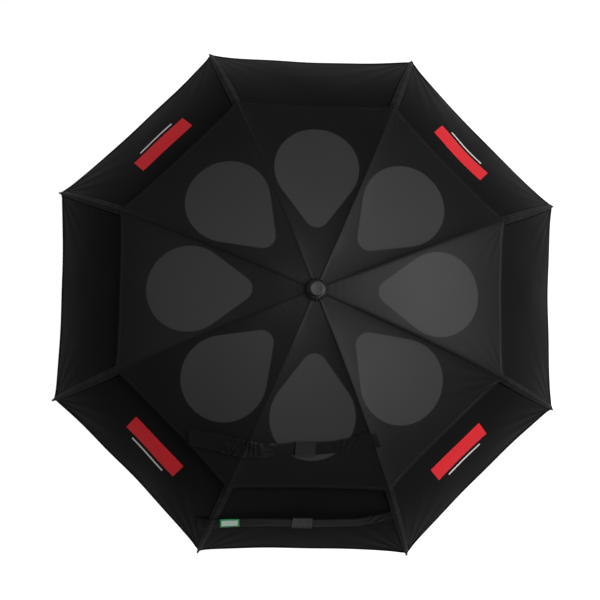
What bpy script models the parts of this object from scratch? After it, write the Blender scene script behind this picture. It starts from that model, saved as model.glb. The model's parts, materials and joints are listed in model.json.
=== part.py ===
"""Golf umbrella with a vented double canopy, standing open on its handle.

The shaft is the Z axis and the handle's end face is the origin. Eight curved ribs
hang from the crown, each in a lower and an outer length that bend at a knuckle, and
eight stretchers join them to the runner. The pivots on the crown and on the runner
stand at one radius, and a stretcher is as long as its rib's stretch from crown to
bracket, so the runner keeps to the shaft through the whole fold.

All sizes are in metres. A rib is drawn along +X, and copies turn round the shaft.
"""
import math

import bmesh
import bpy
from mathutils import Matrix, Vector

# ---- driving dimensions -------------------------------------------------------
RIBS = 8
FIRST_RIB = math.radians(22.5)
RIB_STEP = math.tau / RIBS
HALF_STEP = RIB_STEP / 2

CROWN_HEIGHT = 0.955
PIVOT_RADIUS = 0.018
BRACKET_REACH = 0.340
KNUCKLE_REACH = 0.360
KNUCKLE_LIFT = 0.004
INNER_SLOPE = math.radians(12)
INNER_BOW = 0.017
OUTER_SLOPE = math.radians(38)
OUTER_REACH = 0.384
OUTER_BOW = 0.0275
RIB_REACH = KNUCKLE_REACH + OUTER_REACH
FOLD = math.radians(76)

ROD_RADIUS = 0.002
EYE_RADIUS = 0.0025
EYE_WIDTH = 0.004
KNUCKLE_RADIUS = 0.0034
KNUCKLE_WIDTH = 0.0060
WIRE_RADIUS = 0.0008
WIRE_HOLE = 0.0012
GAP = 0.0003

SHAFT_RADIUS = 0.007
SHAFT_BORE = 0.0045
SHAFT_FOOT = 0.0125
SHAFT_TOP = CROWN_HEIGHT + 0.0300
SLIDE_RADIUS = 0.0074

SHEET = 0.0008
UNDERSIDE_LIFT = 0.0046
CANOPY_HOLE = 0.0090
CROWN_FLAT = 0.010
HEM_REACH = KNUCKLE_REACH + 0.372
PANEL_HOLLOW = 0.012
UPPER_HEM_REACH = 0.488
UPPER_LIFT = 0.0068
UPPER_RISE = 0.0110
UPPER_HOLLOW = 0.006
SEAM_GAP = 0.0002

VENT_WIDE_AT = 0.288
VENT_WIDE_RADIUS = 0.098
VENT_NARROW_AT = 0.173
VENT_NARROW_RADIUS = 0.029

ROSE_RADIUS = 0.023
ROSE_SLOT = 0.0050
SLOT_INNER = 0.0147
RUNNER_HEIGHT = CROWN_HEIGHT - 2 * BRACKET_REACH * math.sin(INNER_SLOPE)
SLEEVE_LENGTH = 0.055
SLEEVE_RADIUS = 0.0108
WINDOW_ABOVE_FOOT = 0.020

CATCH_LENGTH = 0.034
CATCH_NOSE = 0.0030
CATCH_PIVOT_RADIUS = 0.0020
CATCH_WIDTH = 0.0030
CATCH_SLOT = 0.0036
CATCH_AZIMUTH = -math.pi / 2
TOP_CATCH_SHOULDER = RUNNER_HEIGHT - SLEEVE_LENGTH - 0.0006
CLOSED_DROP = 2 * BRACKET_REACH * (math.sin(INNER_SLOPE + FOLD) - math.sin(INNER_SLOPE))
CLOSED_FOOT = RUNNER_HEIGHT - SLEEVE_LENGTH - CLOSED_DROP
BOTTOM_CATCH_SHOULDER = CLOSED_FOOT + WINDOW_ABOVE_FOOT + 0.0110

HANDLE_TOP = 0.190
GRIP_RADIUS = 0.0155
END_CAP_RADIUS = 0.0172
END_CAP_HEIGHT = 0.0120
COLLAR_TOP = 0.204

STRAP_THICKNESS = 0.0016
STRAP_GAP = 0.0010
LABEL_GAP = 0.0008
LONG_STRAP = {"row": 0.352, "width": 0.042, "overhang": 0.132}
SHORT_STRAP = {"row": 0.540, "width": 0.026, "overhang": 0.038}
LABEL_LENGTH = 0.046
LABEL_WIDTH = 0.022
LABEL_FROM_RIB = 0.020
STRAP_RIB = 7


# ---- scene set-up -------------------------------------------------------------
def clear_scene():
    """Remove every object, so that the script can be run again."""
    for old in list(bpy.data.objects):
        bpy.data.objects.remove(old, do_unlink=True)


def make_collection(name):
    """A collection linked to the scene."""
    made = bpy.data.collections.new(name)
    bpy.context.scene.collection.children.link(made)
    return made


def make_material(name, colour, roughness, metallic=0.0):
    """A Principled material."""
    made = bpy.data.materials.new(name)
    made.use_nodes = True
    shader = made.node_tree.nodes["Principled BSDF"]
    shader.inputs["Base Color"].default_value = (*colour, 1.0)
    shader.inputs["Roughness"].default_value = roughness
    shader.inputs["Metallic"].default_value = metallic
    return made


clear_scene()
PARTS = make_collection("golf_umbrella")
CUTTERS = make_collection("cutters")

FABRIC = make_material("pongee_fabric", (0.012, 0.012, 0.013), 0.70)
WEBBING = make_material("strap_fabric", (0.015, 0.015, 0.016), 0.80)
LABEL = make_material("label_cloth", (0.03, 0.34, 0.14), 0.70)
FIBREGLASS = make_material("fibreglass", (0.020, 0.020, 0.022), 0.35)
NYLON = make_material("moulded_nylon", (0.030, 0.030, 0.032), 0.45)
STEEL = make_material("plated_steel", (0.60, 0.60, 0.62), 0.30, 1.0)
FOAM = make_material("eva_foam", (0.018, 0.018, 0.018), 0.90)


# ---- mesh helpers -------------------------------------------------------------
def add_object(name, mesh, material=None, collection=None):
    """Link an object that holds the mesh, shaded smooth with sharp edges kept."""
    made = bpy.data.objects.new(name, mesh)
    (collection or PARTS).objects.link(made)
    if material and not mesh.materials:
        mesh.materials.append(material)
    mesh.shade_smooth()
    mesh.set_sharp_from_angle(angle=math.radians(35))
    return made


def mesh_from(bm, name):
    """A mesh made from a bmesh, which is freed."""
    bmesh.ops.recalc_face_normals(bm, faces=bm.faces)
    mesh = bpy.data.meshes.new(name)
    bm.to_mesh(mesh)
    bm.free()
    return mesh


def evaluated_mesh(source, name):
    """The mesh of an object with its modifiers applied; the object is removed."""
    bpy.context.view_layer.update()
    depsgraph = bpy.context.evaluated_depsgraph_get()
    mesh = bpy.data.meshes.new_from_object(source.evaluated_get(depsgraph), depsgraph=depsgraph)
    mesh.transform(source.matrix_world)
    mesh.name = name
    bpy.data.objects.remove(source, do_unlink=True)
    return mesh


def weld(mesh):
    """Join the mesh's loose caps to its sides."""
    bm = bmesh.new()
    bm.from_mesh(mesh)
    bmesh.ops.remove_doubles(bm, verts=bm.verts, dist=1e-6)
    bmesh.ops.recalc_face_normals(bm, faces=bm.faces)
    bm.to_mesh(mesh)
    bm.free()
    return mesh


def work_object(name, mesh):
    """A working object for a Boolean, hidden from renders."""
    made = bpy.data.objects.new(name, mesh)
    CUTTERS.objects.link(made)
    made.hide_render = True
    made.display_type = "WIRE"
    return made


def combine(base, others, operation, name):
    """The base mesh joined with the other meshes, or cut by them."""
    body = work_object(name, base)
    tools = [work_object(f"{name}_tool", other) for other in others]
    for tool in tools:
        step = body.modifiers.new("step", "BOOLEAN")
        step.operation = operation
        step.solver = "EXACT"
        step.object = tool
    result = evaluated_mesh(body, name)
    for tool in tools:
        bpy.data.objects.remove(tool, do_unlink=True)
    return result


def cylinder(radius, depth, centre, axis, segments):
    """A closed cylinder along the Y or Z axis."""
    bm = bmesh.new()
    bmesh.ops.create_cone(
        bm, cap_ends=True, segments=segments, radius1=radius, radius2=radius, depth=depth
    )
    turn = {"Y": Matrix.Rotation(-math.pi / 2, 4, "X"), "Z": Matrix.Identity(4)}[axis]
    bmesh.ops.transform(bm, matrix=Matrix.Translation(centre) @ turn, verts=bm.verts)
    return mesh_from(bm, "cylinder")


def box(size, centre, turn=0.0):
    """A closed box, turned about the Z axis through the origin."""
    bm = bmesh.new()
    bmesh.ops.create_cube(bm, size=1.0)
    place = Matrix.Rotation(turn, 4, "Z") @ Matrix.Translation(centre) @ Matrix.Diagonal((*size, 1.0))
    bmesh.ops.transform(bm, matrix=place, verts=bm.verts)
    return mesh_from(bm, "box")


def ring(radius, thickness, height, segments=32, sides=6):
    """A closed wire ring round the shaft: a small circle turned about the Z axis."""
    bm = bmesh.new()
    bmesh.ops.create_circle(bm, segments=sides, radius=thickness)
    place = Matrix.Translation((radius, 0, height)) @ Matrix.Rotation(math.pi / 2, 4, "X")
    bmesh.ops.transform(bm, matrix=place, verts=bm.verts)
    mesh = bpy.data.meshes.new("ring")
    bm.to_mesh(mesh)
    bm.free()
    return weld(turned_mesh(mesh, segments))


def turned_mesh(mesh, segments):
    """A profile mesh turned once about the Z axis."""
    profile = work_object("profile", mesh)
    screw = profile.modifiers.new("turn", "SCREW")
    screw.steps = segments
    screw.render_steps = segments
    screw.use_merge_vertices = True
    screw.merge_threshold = 1e-5
    return evaluated_mesh(profile, "turned")


def turned(points, segments):
    """A solid turned about the Z axis from (radius, height) points down its outer side.

    A profile that starts and ends on the axis is a solid; any other closes on itself.
    """
    mesh = bpy.data.meshes.new("profile")
    edges = [(n, n + 1) for n in range(len(points) - 1)]
    if points[0][0] > 0:
        edges.append((len(points) - 1, 0))
    mesh.from_pydata([(radius, 0, height) for radius, height in points], edges, [])
    return weld(turned_mesh(mesh, segments))


def rod(points, radius, sides=8):
    """A closed round rod through the points."""
    curve = bpy.data.curves.new("rod", "CURVE")
    curve.dimensions = "3D"
    curve.bevel_depth = radius
    curve.bevel_resolution = (sides - 4) // 2
    curve.use_fill_caps = True
    spline = curve.splines.new("POLY")
    spline.points.add(len(points) - 1)
    for place, point in zip(spline.points, points):
        place.co = (*point, 1.0)
    made = bpy.data.objects.new("rod", curve)
    CUTTERS.objects.link(made)
    return weld(evaluated_mesh(made, "rod"))


def outline_plate(outlines, thickness):
    """A flat plate in the XZ plane from closed outlines; inner outlines are holes."""
    curve = bpy.data.curves.new("plate", "CURVE")
    curve.dimensions = "2D"
    curve.fill_mode = "BOTH"
    curve.extrude = thickness / 2
    for outline in outlines:
        spline = curve.splines.new("POLY")
        spline.use_cyclic_u = True
        spline.points.add(len(outline) - 1)
        for place, (across, up) in zip(spline.points, outline):
            place.co = (across, up, 0.0, 1.0)
    made = bpy.data.objects.new("plate", curve)
    CUTTERS.objects.link(made)
    made.matrix_world = Matrix.Rotation(math.pi / 2, 4, "X")
    return weld(evaluated_mesh(made, "plate"))


def arc_points(centre, radius, start, end, steps):
    """Points on an arc in a plane, from one angle to another."""
    angles = [start + (end - start) * n / steps for n in range(steps + 1)]
    return [(centre[0] + radius * math.cos(a), centre[1] + radius * math.sin(a)) for a in angles]


# ---- the rib's line and the canopy's surfaces -----------------------------------
def direction(slope):
    """(along, outward) unit vectors in radius and height for a slope below level."""
    along = Vector((math.cos(slope), -math.sin(slope)))
    outward = Vector((math.sin(slope), math.cos(slope)))
    return along, outward


CROWN_PIVOT = Vector((PIVOT_RADIUS, CROWN_HEIGHT))
INNER_ALONG, INNER_OUT = direction(INNER_SLOPE)
OUTER_ALONG, OUTER_OUT = direction(OUTER_SLOPE)
KNUCKLE = CROWN_PIVOT + INNER_ALONG * KNUCKLE_REACH + INNER_OUT * KNUCKLE_LIFT
BRACKET = CROWN_PIVOT + INNER_ALONG * BRACKET_REACH
RUNNER_PIVOT = Vector((PIVOT_RADIUS, RUNNER_HEIGHT))


def rib_line(reach):
    """Radius and height of the rib's centre line at a reach along its two chords."""
    if reach <= KNUCKLE_REACH:
        share = reach / KNUCKLE_REACH
        bow = KNUCKLE_LIFT * share + 4 * INNER_BOW * share * (1 - share)
        return CROWN_PIVOT + INNER_ALONG * reach + INNER_OUT * bow
    share = (reach - KNUCKLE_REACH) / OUTER_REACH
    bow = 4 * OUTER_BOW * share * (1 - share)
    return KNUCKLE + OUTER_ALONG * (reach - KNUCKLE_REACH) + OUTER_OUT * bow


def rib_outward(reach):
    """The rib line's outward normal in radius and height."""
    step = rib_line(reach + 0.002) - rib_line(reach - 0.002)
    return Vector((-step.y, step.x)).normalized()


def around(flat, azimuth):
    """A point given by radius and height, at an azimuth round the shaft."""
    return Vector((flat.x * math.cos(azimuth), flat.x * math.sin(azimuth), flat.y))


def canopy_point(reach, across, lift, hollow):
    """A point on the sheet between the rib at azimuth 0 and the next one.

    across runs from 0 at the first rib to 1 at the next, lift is the height over the
    ribs' centre line, and hollow is how far the sheet dips midway at the hem.
    """
    over = rib_line(reach) + rib_outward(reach) * lift
    point = around(over, 0).lerp(around(over, RIB_STEP), across)
    dip = hollow * math.sin(math.pi / 2 * max(reach, 0) / HEM_REACH) * 4 * across * (1 - across)
    return point - around(rib_outward(reach), HALF_STEP) * dip


def upper_lift(reach):
    """How high the upper canopy's underside stands over the ribs' centre line."""
    return UPPER_LIFT + UPPER_RISE * (max(reach, 0) / UPPER_HEM_REACH) ** 2


def reach_at(radius):
    """The reach along the rib at which its line has the radius."""
    low, high = -PIVOT_RADIUS, RIB_REACH
    for _ in range(40):
        middle = (low + high) / 2
        if rib_line(middle).x < radius:
            low = middle
        else:
            high = middle
    return low


# ---- parts of the frame ---------------------------------------------------------
def local_rib_points(start, end, origin, steps):
    """Rib line points in the XZ plane, measured from an origin on the line."""
    flat = [rib_line(start + (end - start) * n / steps) - origin for n in range(steps + 1)]
    return [(p.x, 0, p.y) for p in flat]


def inner_rib_mesh():
    """Rib from its crown eye to its knuckle, with the bracket that takes the stretcher."""
    bracket = BRACKET - CROWN_PIVOT
    over = rib_line(BRACKET_REACH) - CROWN_PIVOT
    knuckle = KNUCKLE - CROWN_PIVOT
    clamp_from = rib_line(BRACKET_REACH - 0.012) - CROWN_PIVOT
    clamp_to = rib_line(BRACKET_REACH + 0.010) - CROWN_PIVOT
    lug_outline = (
        arc_points((bracket.x, bracket.y), 0.0030, math.pi, math.tau, 4)
        + [(bracket.x + 0.0065, over.y - 0.0012), (bracket.x - 0.0065, over.y + 0.0006)]
    )
    lugs = []
    for side in (-1, 1):
        lug = outline_plate([lug_outline], 0.0012)
        lug.transform(Matrix.Translation((0, side * 0.0026, 0)))
        lugs.append(lug)
    pieces = [
        cylinder(EYE_RADIUS, EYE_WIDTH, (0, 0, 0), "Y", 10),
        rod([(clamp_from.x, 0, clamp_from.y), (clamp_to.x, 0, clamp_to.y)], 0.0033, 6),
        cylinder(KNUCKLE_RADIUS, KNUCKLE_WIDTH, (knuckle.x, 0, knuckle.y), "Y", 10),
        cylinder(0.0010, 0.0070, (bracket.x, 0, bracket.y), "Y", 8),
        *lugs,
    ]
    stem = rod(local_rib_points(0.0, KNUCKLE_REACH, CROWN_PIVOT, 8), ROD_RADIUS)
    joined = combine(stem, pieces, "UNION", "rib_joined")
    return combine(joined, [cylinder(WIRE_HOLE, 0.02, (0, 0, 0), "Y", 8)], "DIFFERENCE", "rib_inner")


def outer_rib_mesh():
    """Rib from just past its knuckle to its end, measured from the knuckle."""
    start = KNUCKLE_REACH + KNUCKLE_RADIUS + 0.0006
    return rod(local_rib_points(start, RIB_REACH, KNUCKLE, 8), ROD_RADIUS)


def tip_mesh():
    """Cap on the rib's end: a blunt cone with a bore for the rod."""
    length = 0.020
    depth = 0.010
    profile = [
        (0.0000, length),
        (0.0012, length),
        (0.0022, length - 0.002),
        (0.0034, 0.008),
        (0.0036, 0.001),
        (0.0032, 0.000),
        (ROD_RADIUS + GAP, 0.000),
        (ROD_RADIUS + GAP, depth),
        (0.0000, depth),
    ]
    return turned(profile, 8)


def stretcher_mesh():
    """Link from the bracket pin to the runner's wire, measured from the bracket."""
    run = RUNNER_PIVOT - BRACKET
    length = run.length
    tilt = math.atan2(run.y, run.x)
    outline = arc_points((0, 0), 0.0026, math.pi / 2, 3 * math.pi / 2, 6)
    outline += [(0.012, -0.0017), (length - 0.012, -0.0017)]
    outline += arc_points((length, 0), 0.0026, -math.pi / 2, math.pi / 2, 6)
    outline += [(length - 0.012, 0.0017), (0.012, 0.0017)]
    holes = [arc_points((x, 0), WIRE_HOLE + 0.0002, 0, math.tau, 9)[:-1] for x in (0, length)]
    link = outline_plate([outline, *holes], 0.0028)
    link.transform(Matrix.Rotation(-tilt, 4, "Y"))
    return link


def rose_cutters(height, bottom, top):
    """Eight slots that take the ribs or stretchers, and the channel for their wire."""
    length = ROSE_RADIUS + 0.004 - SLOT_INNER
    middle = SLOT_INNER + length / 2
    slots = [
        box(
            (length, ROSE_SLOT, top - bottom),
            (middle, 0, (top + bottom) / 2),
            FIRST_RIB + n * RIB_STEP,
        )
        for n in range(RIBS)
    ]
    return [*slots, ring(PIVOT_RADIUS, WIRE_HOLE, height)]


def crown_mesh():
    """Notched disc fixed on the shaft: its slots are open below and outward."""
    low = CROWN_HEIGHT - 0.0095
    high = CROWN_HEIGHT + 0.0041
    profile = [
        (0.0120, high),
        (ROSE_RADIUS, high),
        (ROSE_RADIUS, low + 0.0015),
        (ROSE_RADIUS - 0.0015, low),
        (0.0125, low),
        (0.0110, low - 0.0120),
        (SHAFT_RADIUS + GAP, low - 0.0120),
        (SHAFT_RADIUS + GAP, high),
    ]
    slots = rose_cutters(CROWN_HEIGHT, low - 0.002, CROWN_HEIGHT + 0.0029)
    return combine(turned(profile, 32), slots, "DIFFERENCE", "crown")


def runner_mesh():
    """Sliding sleeve with a notched rose on top, a finger flange and a catch window."""
    high = RUNNER_HEIGHT + 0.0095
    low = RUNNER_HEIGHT - 0.0041
    foot = RUNNER_HEIGHT - SLEEVE_LENGTH
    profile = [
        (SLIDE_RADIUS, high),
        (ROSE_RADIUS - 0.0015, high),
        (ROSE_RADIUS, high - 0.0015),
        (ROSE_RADIUS, low),
        (0.0130, low - 0.0030),
        (SLEEVE_RADIUS, low - 0.0060),
        (SLEEVE_RADIUS, foot + 0.0080),
        (0.0150, foot + 0.0040),
        (0.0155, foot + 0.0015),
        (0.0145, foot),
        (SLIDE_RADIUS, foot),
    ]
    slots = rose_cutters(RUNNER_HEIGHT, RUNNER_HEIGHT - 0.0029, high + 0.002)
    window = box(
        (0.012, CATCH_WIDTH + 0.0014, 0.0140),
        (SLIDE_RADIUS + 0.0045, 0, foot + WINDOW_ABOVE_FOOT + 0.0070),
        CATCH_AZIMUTH,
    )
    return combine(turned(profile, 32), [*slots, window], "DIFFERENCE", "runner")


def shaft_mesh():
    """Fibreglass tube with a slot for each of its two spring catches."""
    profile = [
        (SHAFT_BORE, SHAFT_TOP),
        (SHAFT_RADIUS, SHAFT_TOP),
        (SHAFT_RADIUS, SHAFT_FOOT),
        (SHAFT_BORE, SHAFT_FOOT),
    ]
    slots = [
        box(
            (0.010, CATCH_SLOT, CATCH_LENGTH - 0.004),
            (SHAFT_BORE + 0.0045, 0, shoulder - (CATCH_LENGTH - 0.004) / 2 + 0.0010),
            CATCH_AZIMUTH,
        )
        for shoulder in (TOP_CATCH_SHOULDER, BOTTOM_CATCH_SHOULDER)
    ]
    return combine(turned(profile, 24), slots, "DIFFERENCE", "shaft")


def catch_mesh():
    """Spring catch drawn from its pivot up: a flat lever with a ramped nose."""
    length = CATCH_LENGTH
    back = -0.0012
    face = 0.0008
    nose = SHAFT_RADIUS - CATCH_PIVOT_RADIUS + CATCH_NOSE
    outline = [
        (back, -0.0015),
        (face, -0.0015),
        (face + 0.0002, length * 0.45),
        (nose, length - 0.0030),
        (nose, length - 0.0002),
        (face, length),
        (back, length),
    ]
    return outline_plate([outline], CATCH_WIDTH)


def cap_ring_mesh():
    """Knurled skirt that clamps the canopies on the crown: a fluted cone."""
    base = CROWN_HEIGHT + 0.0084
    height = 0.0100
    flutes = 20
    bm = bmesh.new()
    bmesh.ops.create_cone(
        bm, cap_ends=True, segments=flutes * 2, radius1=0.0280, radius2=0.0205, depth=height
    )
    bmesh.ops.translate(bm, vec=(0, 0, base + height / 2), verts=bm.verts)
    for vertex in bm.verts:
        turn = round(math.atan2(vertex.co.y, vertex.co.x) / (math.pi / flutes))
        if turn % 2:
            vertex.co.x *= 0.93
            vertex.co.y *= 0.93
    bore = cylinder(SHAFT_RADIUS + GAP, 0.05, (0, 0, base), "Z", 24)
    return combine(mesh_from(bm, "skirt"), [bore], "DIFFERENCE", "cap_ring")


def top_cap_mesh():
    """Cap that closes the shaft's end above the knurled skirt."""
    base = CROWN_HEIGHT + 0.0187
    top = base + 0.0170
    profile = [
        (0.0000, top),
        (0.0135, top),
        (0.0160, top - 0.0008),
        (0.0173, top - 0.0026),
        (0.0176, base + 0.0010),
        (0.0170, base),
        (SHAFT_RADIUS + GAP, base),
        (SHAFT_RADIUS + GAP, SHAFT_TOP + GAP),
        (0.0000, SHAFT_TOP + GAP),
    ]
    return turned(profile, 28)


def sleeve_mesh(rings):
    """A turned sleeve on the shaft from (radius, height) points, top to bottom."""
    bore = SHAFT_RADIUS + GAP
    return turned([(bore, rings[0][1]), *rings, (bore, rings[-1][1])], 24)


def grip_mesh():
    """Straight foam grip with a slight belly."""
    low = END_CAP_HEIGHT + GAP
    run = HANDLE_TOP - low
    rings = []
    for n in range(7):
        share = n / 6
        belly = 0.0012 * math.sin(math.pi * share)
        rings.append((GRIP_RADIUS - 0.0005 + belly, HANDLE_TOP - run * share))
    return sleeve_mesh(rings)


def collar_mesh():
    """Moulded ferrule between the grip and the shaft."""
    low = HANDLE_TOP + GAP
    return sleeve_mesh(
        [
            (0.0095, COLLAR_TOP),
            (0.0112, COLLAR_TOP - 0.0020),
            (0.0128, low + 0.0050),
            (0.0150, low + 0.0020),
            (0.0150, low),
        ]
    )


def end_cap_mesh():
    """Plug under the grip with the flat face that the umbrella hangs or stands by."""
    profile = [
        (0.0000, END_CAP_HEIGHT),
        (0.0150, END_CAP_HEIGHT),
        (END_CAP_RADIUS, END_CAP_HEIGHT - 0.0020),
        (END_CAP_RADIUS, 0.0022),
        (END_CAP_RADIUS - 0.0022, 0.0000),
        (0.0000, 0.0000),
    ]
    return turned(profile, 28)


# ---- canopy ---------------------------------------------------------------------
def sheet_grid(reaches, acrosses, lift, hollow):
    """A bmesh grid on the sheet between two ribs; lift is a function of the reach."""
    bm = bmesh.new()
    rows = []
    for reach in reaches:
        rows.append([bm.verts.new(canopy_point(reach, a, lift(reach), hollow)) for a in acrosses(reach)])
    for near, far in zip(rows, rows[1:]):
        for n in range(len(near) - 1):
            bm.faces.new((near[n], far[n], far[n + 1], near[n + 1]))
    return bm


def solid_sheet(bm, name):
    """The open sheet thickened outward into a closed solid."""
    mesh = bpy.data.meshes.new(name)
    bm.to_mesh(mesh)
    bm.free()
    source = work_object(name, mesh)
    shell = source.modifiers.new("thickness", "SOLIDIFY")
    shell.thickness = SHEET
    shell.offset = 1.0
    return evaluated_mesh(source, name)


def vent_mesh():
    """Pear-shaped prism, wide towards the hem, that opens a vent in a lower panel."""
    run = VENT_WIDE_AT - VENT_NARROW_AT
    lean = math.acos((VENT_NARROW_RADIUS - VENT_WIDE_RADIUS) / run)
    wide = arc_points((VENT_WIDE_AT, 0), VENT_WIDE_RADIUS, -lean, lean, 12)
    narrow = arc_points((VENT_NARROW_AT, 0), VENT_NARROW_RADIUS, lean, math.tau - lean, 4)
    prism = outline_plate([wide + narrow], 0.6)
    prism.transform(Matrix.Rotation(-math.pi / 2, 4, "X"))
    prism.transform(Matrix.Translation((0, 0, CROWN_HEIGHT)))
    prism.transform(Matrix.Rotation(HALF_STEP, 4, "Z"))
    return prism


def spread(count, start, end):
    """Evenly spaced values from start to end."""
    return [start + (end - start) * n / count for n in range(count + 1)]


def seam_acrosses(count):
    """Places across a panel as a function of the reach, clear of both seams."""

    def places(reach):
        width = 2 * rib_line(reach).x * math.sin(HALF_STEP)
        return spread(count, SEAM_GAP / width, 1 - SEAM_GAP / width)

    return places


def canopy_rows(hem_reach, outer_rows):
    """Reaches of a sheet's rows: both canopies share those from crown to knuckle."""
    over_crown = [CANOPY_HOLE - PIVOT_RADIUS, CROWN_FLAT]
    inner_rows = spread(4, CROWN_FLAT, KNUCKLE_REACH)[1:]
    return [*over_crown, *inner_rows, *spread(outer_rows, KNUCKLE_REACH, hem_reach)[1:]]


def lower_panel_mesh():
    """One gore of the lower canopy, from the crown to the hem, with its vent."""
    reaches = canopy_rows(HEM_REACH, 6)
    gore = sheet_grid(reaches, seam_acrosses(4), lambda reach: UNDERSIDE_LIFT, PANEL_HOLLOW)
    return combine(solid_sheet(gore, "gore"), [vent_mesh()], "DIFFERENCE", "lower_panel")


def upper_canopy_mesh():
    """The whole upper canopy: eight gores joined at their seams."""
    whole = bmesh.new()
    reaches = canopy_rows(UPPER_HEM_REACH, 2)
    for n in range(RIBS):
        gore = sheet_grid(reaches, lambda reach: spread(4, 0, 1), upper_lift, UPPER_HOLLOW)
        turn = Matrix.Rotation(FIRST_RIB + n * RIB_STEP, 4, "Z")
        bmesh.ops.transform(gore, matrix=turn, verts=gore.verts)
        held = bpy.data.meshes.new("gore")
        gore.to_mesh(held)
        gore.free()
        whole.from_mesh(held)
        bpy.data.meshes.remove(held)
    bmesh.ops.remove_doubles(whole, verts=whole.verts, dist=1e-6)
    return solid_sheet(whole, "upper_canopy")


def over_canopy(x, y, lift, hollow):
    """The point over the canopy at a place in plan; lift is a function of the reach."""
    turn = math.atan2(y, x) - FIRST_RIB
    panel = math.floor(turn / RIB_STEP)
    azimuth = FIRST_RIB + (panel + 0.5) * RIB_STEP
    along = x * math.cos(azimuth) + y * math.sin(azimuth)
    sideways = -x * math.sin(azimuth) + y * math.cos(azimuth)
    radius = along / math.cos(HALF_STEP)
    reach = reach_at(radius)
    across = 0.5 + sideways / (2 * radius * math.sin(HALF_STEP))
    point = canopy_point(reach, across, lift(reach), hollow)
    return Matrix.Rotation(FIRST_RIB + panel * RIB_STEP, 3, "Z") @ point


def strip_over(rows, lift, hollow, thickness, name):
    """A closed strip over the canopy from rows of places in plan."""
    bm = bmesh.new()
    lines = [[bm.verts.new(over_canopy(x, y, lift, hollow)) for x, y in row] for row in rows]
    for near, far in zip(lines, lines[1:]):
        for n in range(len(near) - 1):
            bm.faces.new((near[n], near[n + 1], far[n + 1], far[n]))
    mesh = bpy.data.meshes.new(name)
    bm.to_mesh(mesh)
    bm.free()
    source = work_object(name, mesh)
    shell = source.modifiers.new("thickness", "SOLIDIFY")
    shell.thickness = thickness
    shell.offset = 1.0
    return evaluated_mesh(source, name)


def strap_mesh(strap, lift, hollow, name):
    """A tie strap laid straight over the canopy, from its seam past the next rib."""
    rows = []
    for y in spread(2, strap["width"] / 2 - strap["row"], -strap["width"] / 2 - strap["row"]):
        seam = -y * math.tan(HALF_STEP)
        end = strap["row"] * math.tan(HALF_STEP) + strap["overhang"]
        rows.append([(x, y) for x in [*spread(8, seam - 0.004, -seam), *spread(3, -seam, -end)[1:]]])
    return strip_over(rows, lift, hollow, STRAP_THICKNESS, name)


def label_mesh(lift, hollow):
    """Small woven label sewn on the short strap beside the rib."""
    row = -SHORT_STRAP["row"]
    left = row * math.tan(HALF_STEP) + LABEL_FROM_RIB
    xs = spread(2, left + LABEL_LENGTH, left)
    rows = [[(x, row + side * LABEL_WIDTH / 2) for x in xs] for side in (1, -1)]
    return strip_over(rows, lift, hollow, 0.0006, "strap_label")


# ---- placing ----------------------------------------------------------------------
def pivot_empty(name, place, azimuth=0.0, parent=None):
    """An empty on a joint's axis, which its moving pieces hang from."""
    made = bpy.data.objects.new(name, None)
    PARTS.objects.link(made)
    made.empty_display_size = 0.02
    made.location = place
    made.rotation_euler = (0, 0, azimuth)
    made.parent = parent
    return made


def put(name, mesh, material, parent=None, place=(0, 0, 0), turn=(0, 0, 0)):
    """Add a piece, placed in its parent's frame."""
    made = add_object(name, mesh, material)
    made.location = place
    made.rotation_euler = turn
    made.parent = parent
    return made


def build_fixed_parts():
    """The shaft and everything fixed on it."""
    put("shaft", shaft_mesh(), FIBREGLASS)
    put("crown", crown_mesh(), NYLON)
    put("crown_wire", ring(PIVOT_RADIUS, WIRE_RADIUS, CROWN_HEIGHT), STEEL)
    put("cap_ring", cap_ring_mesh(), NYLON)
    put("top_cap", top_cap_mesh(), NYLON)
    stop_foot = RUNNER_HEIGHT + 0.0105
    stop = sleeve_mesh([(0.0090, stop_foot + 0.006), (0.0090, stop_foot)])
    put("top_stop", stop, STEEL)
    put("handle_grip", grip_mesh(), FOAM)
    put("handle_collar", collar_mesh(), NYLON)
    put("end_cap", end_cap_mesh(), NYLON)
    put("upper_canopy", upper_canopy_mesh(), FABRIC)


def build_catches():
    """The two spring catches inside the shaft, each on its pivot."""
    lever = catch_mesh()
    for name, shoulder in (("top_catch", TOP_CATCH_SHOULDER), ("bottom_catch", BOTTOM_CATCH_SHOULDER)):
        place = Vector((CATCH_PIVOT_RADIUS, 0, shoulder - CATCH_LENGTH))
        place.rotate(Matrix.Rotation(CATCH_AZIMUTH, 3, "Z"))
        put(name, lever, STEEL, place=place, turn=(0, 0, CATCH_AZIMUTH))


def build_runner():
    """The runner with its wire, hung from the first stretcher's lower pivot."""
    pivot = pivot_empty("runner_pivot", around(RUNNER_PIVOT, FIRST_RIB))
    back = -pivot.location
    put("runner", runner_mesh(), NYLON, pivot, back)
    put("runner_wire", ring(PIVOT_RADIUS, WIRE_RADIUS, RUNNER_HEIGHT), STEEL, pivot, back)


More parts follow.
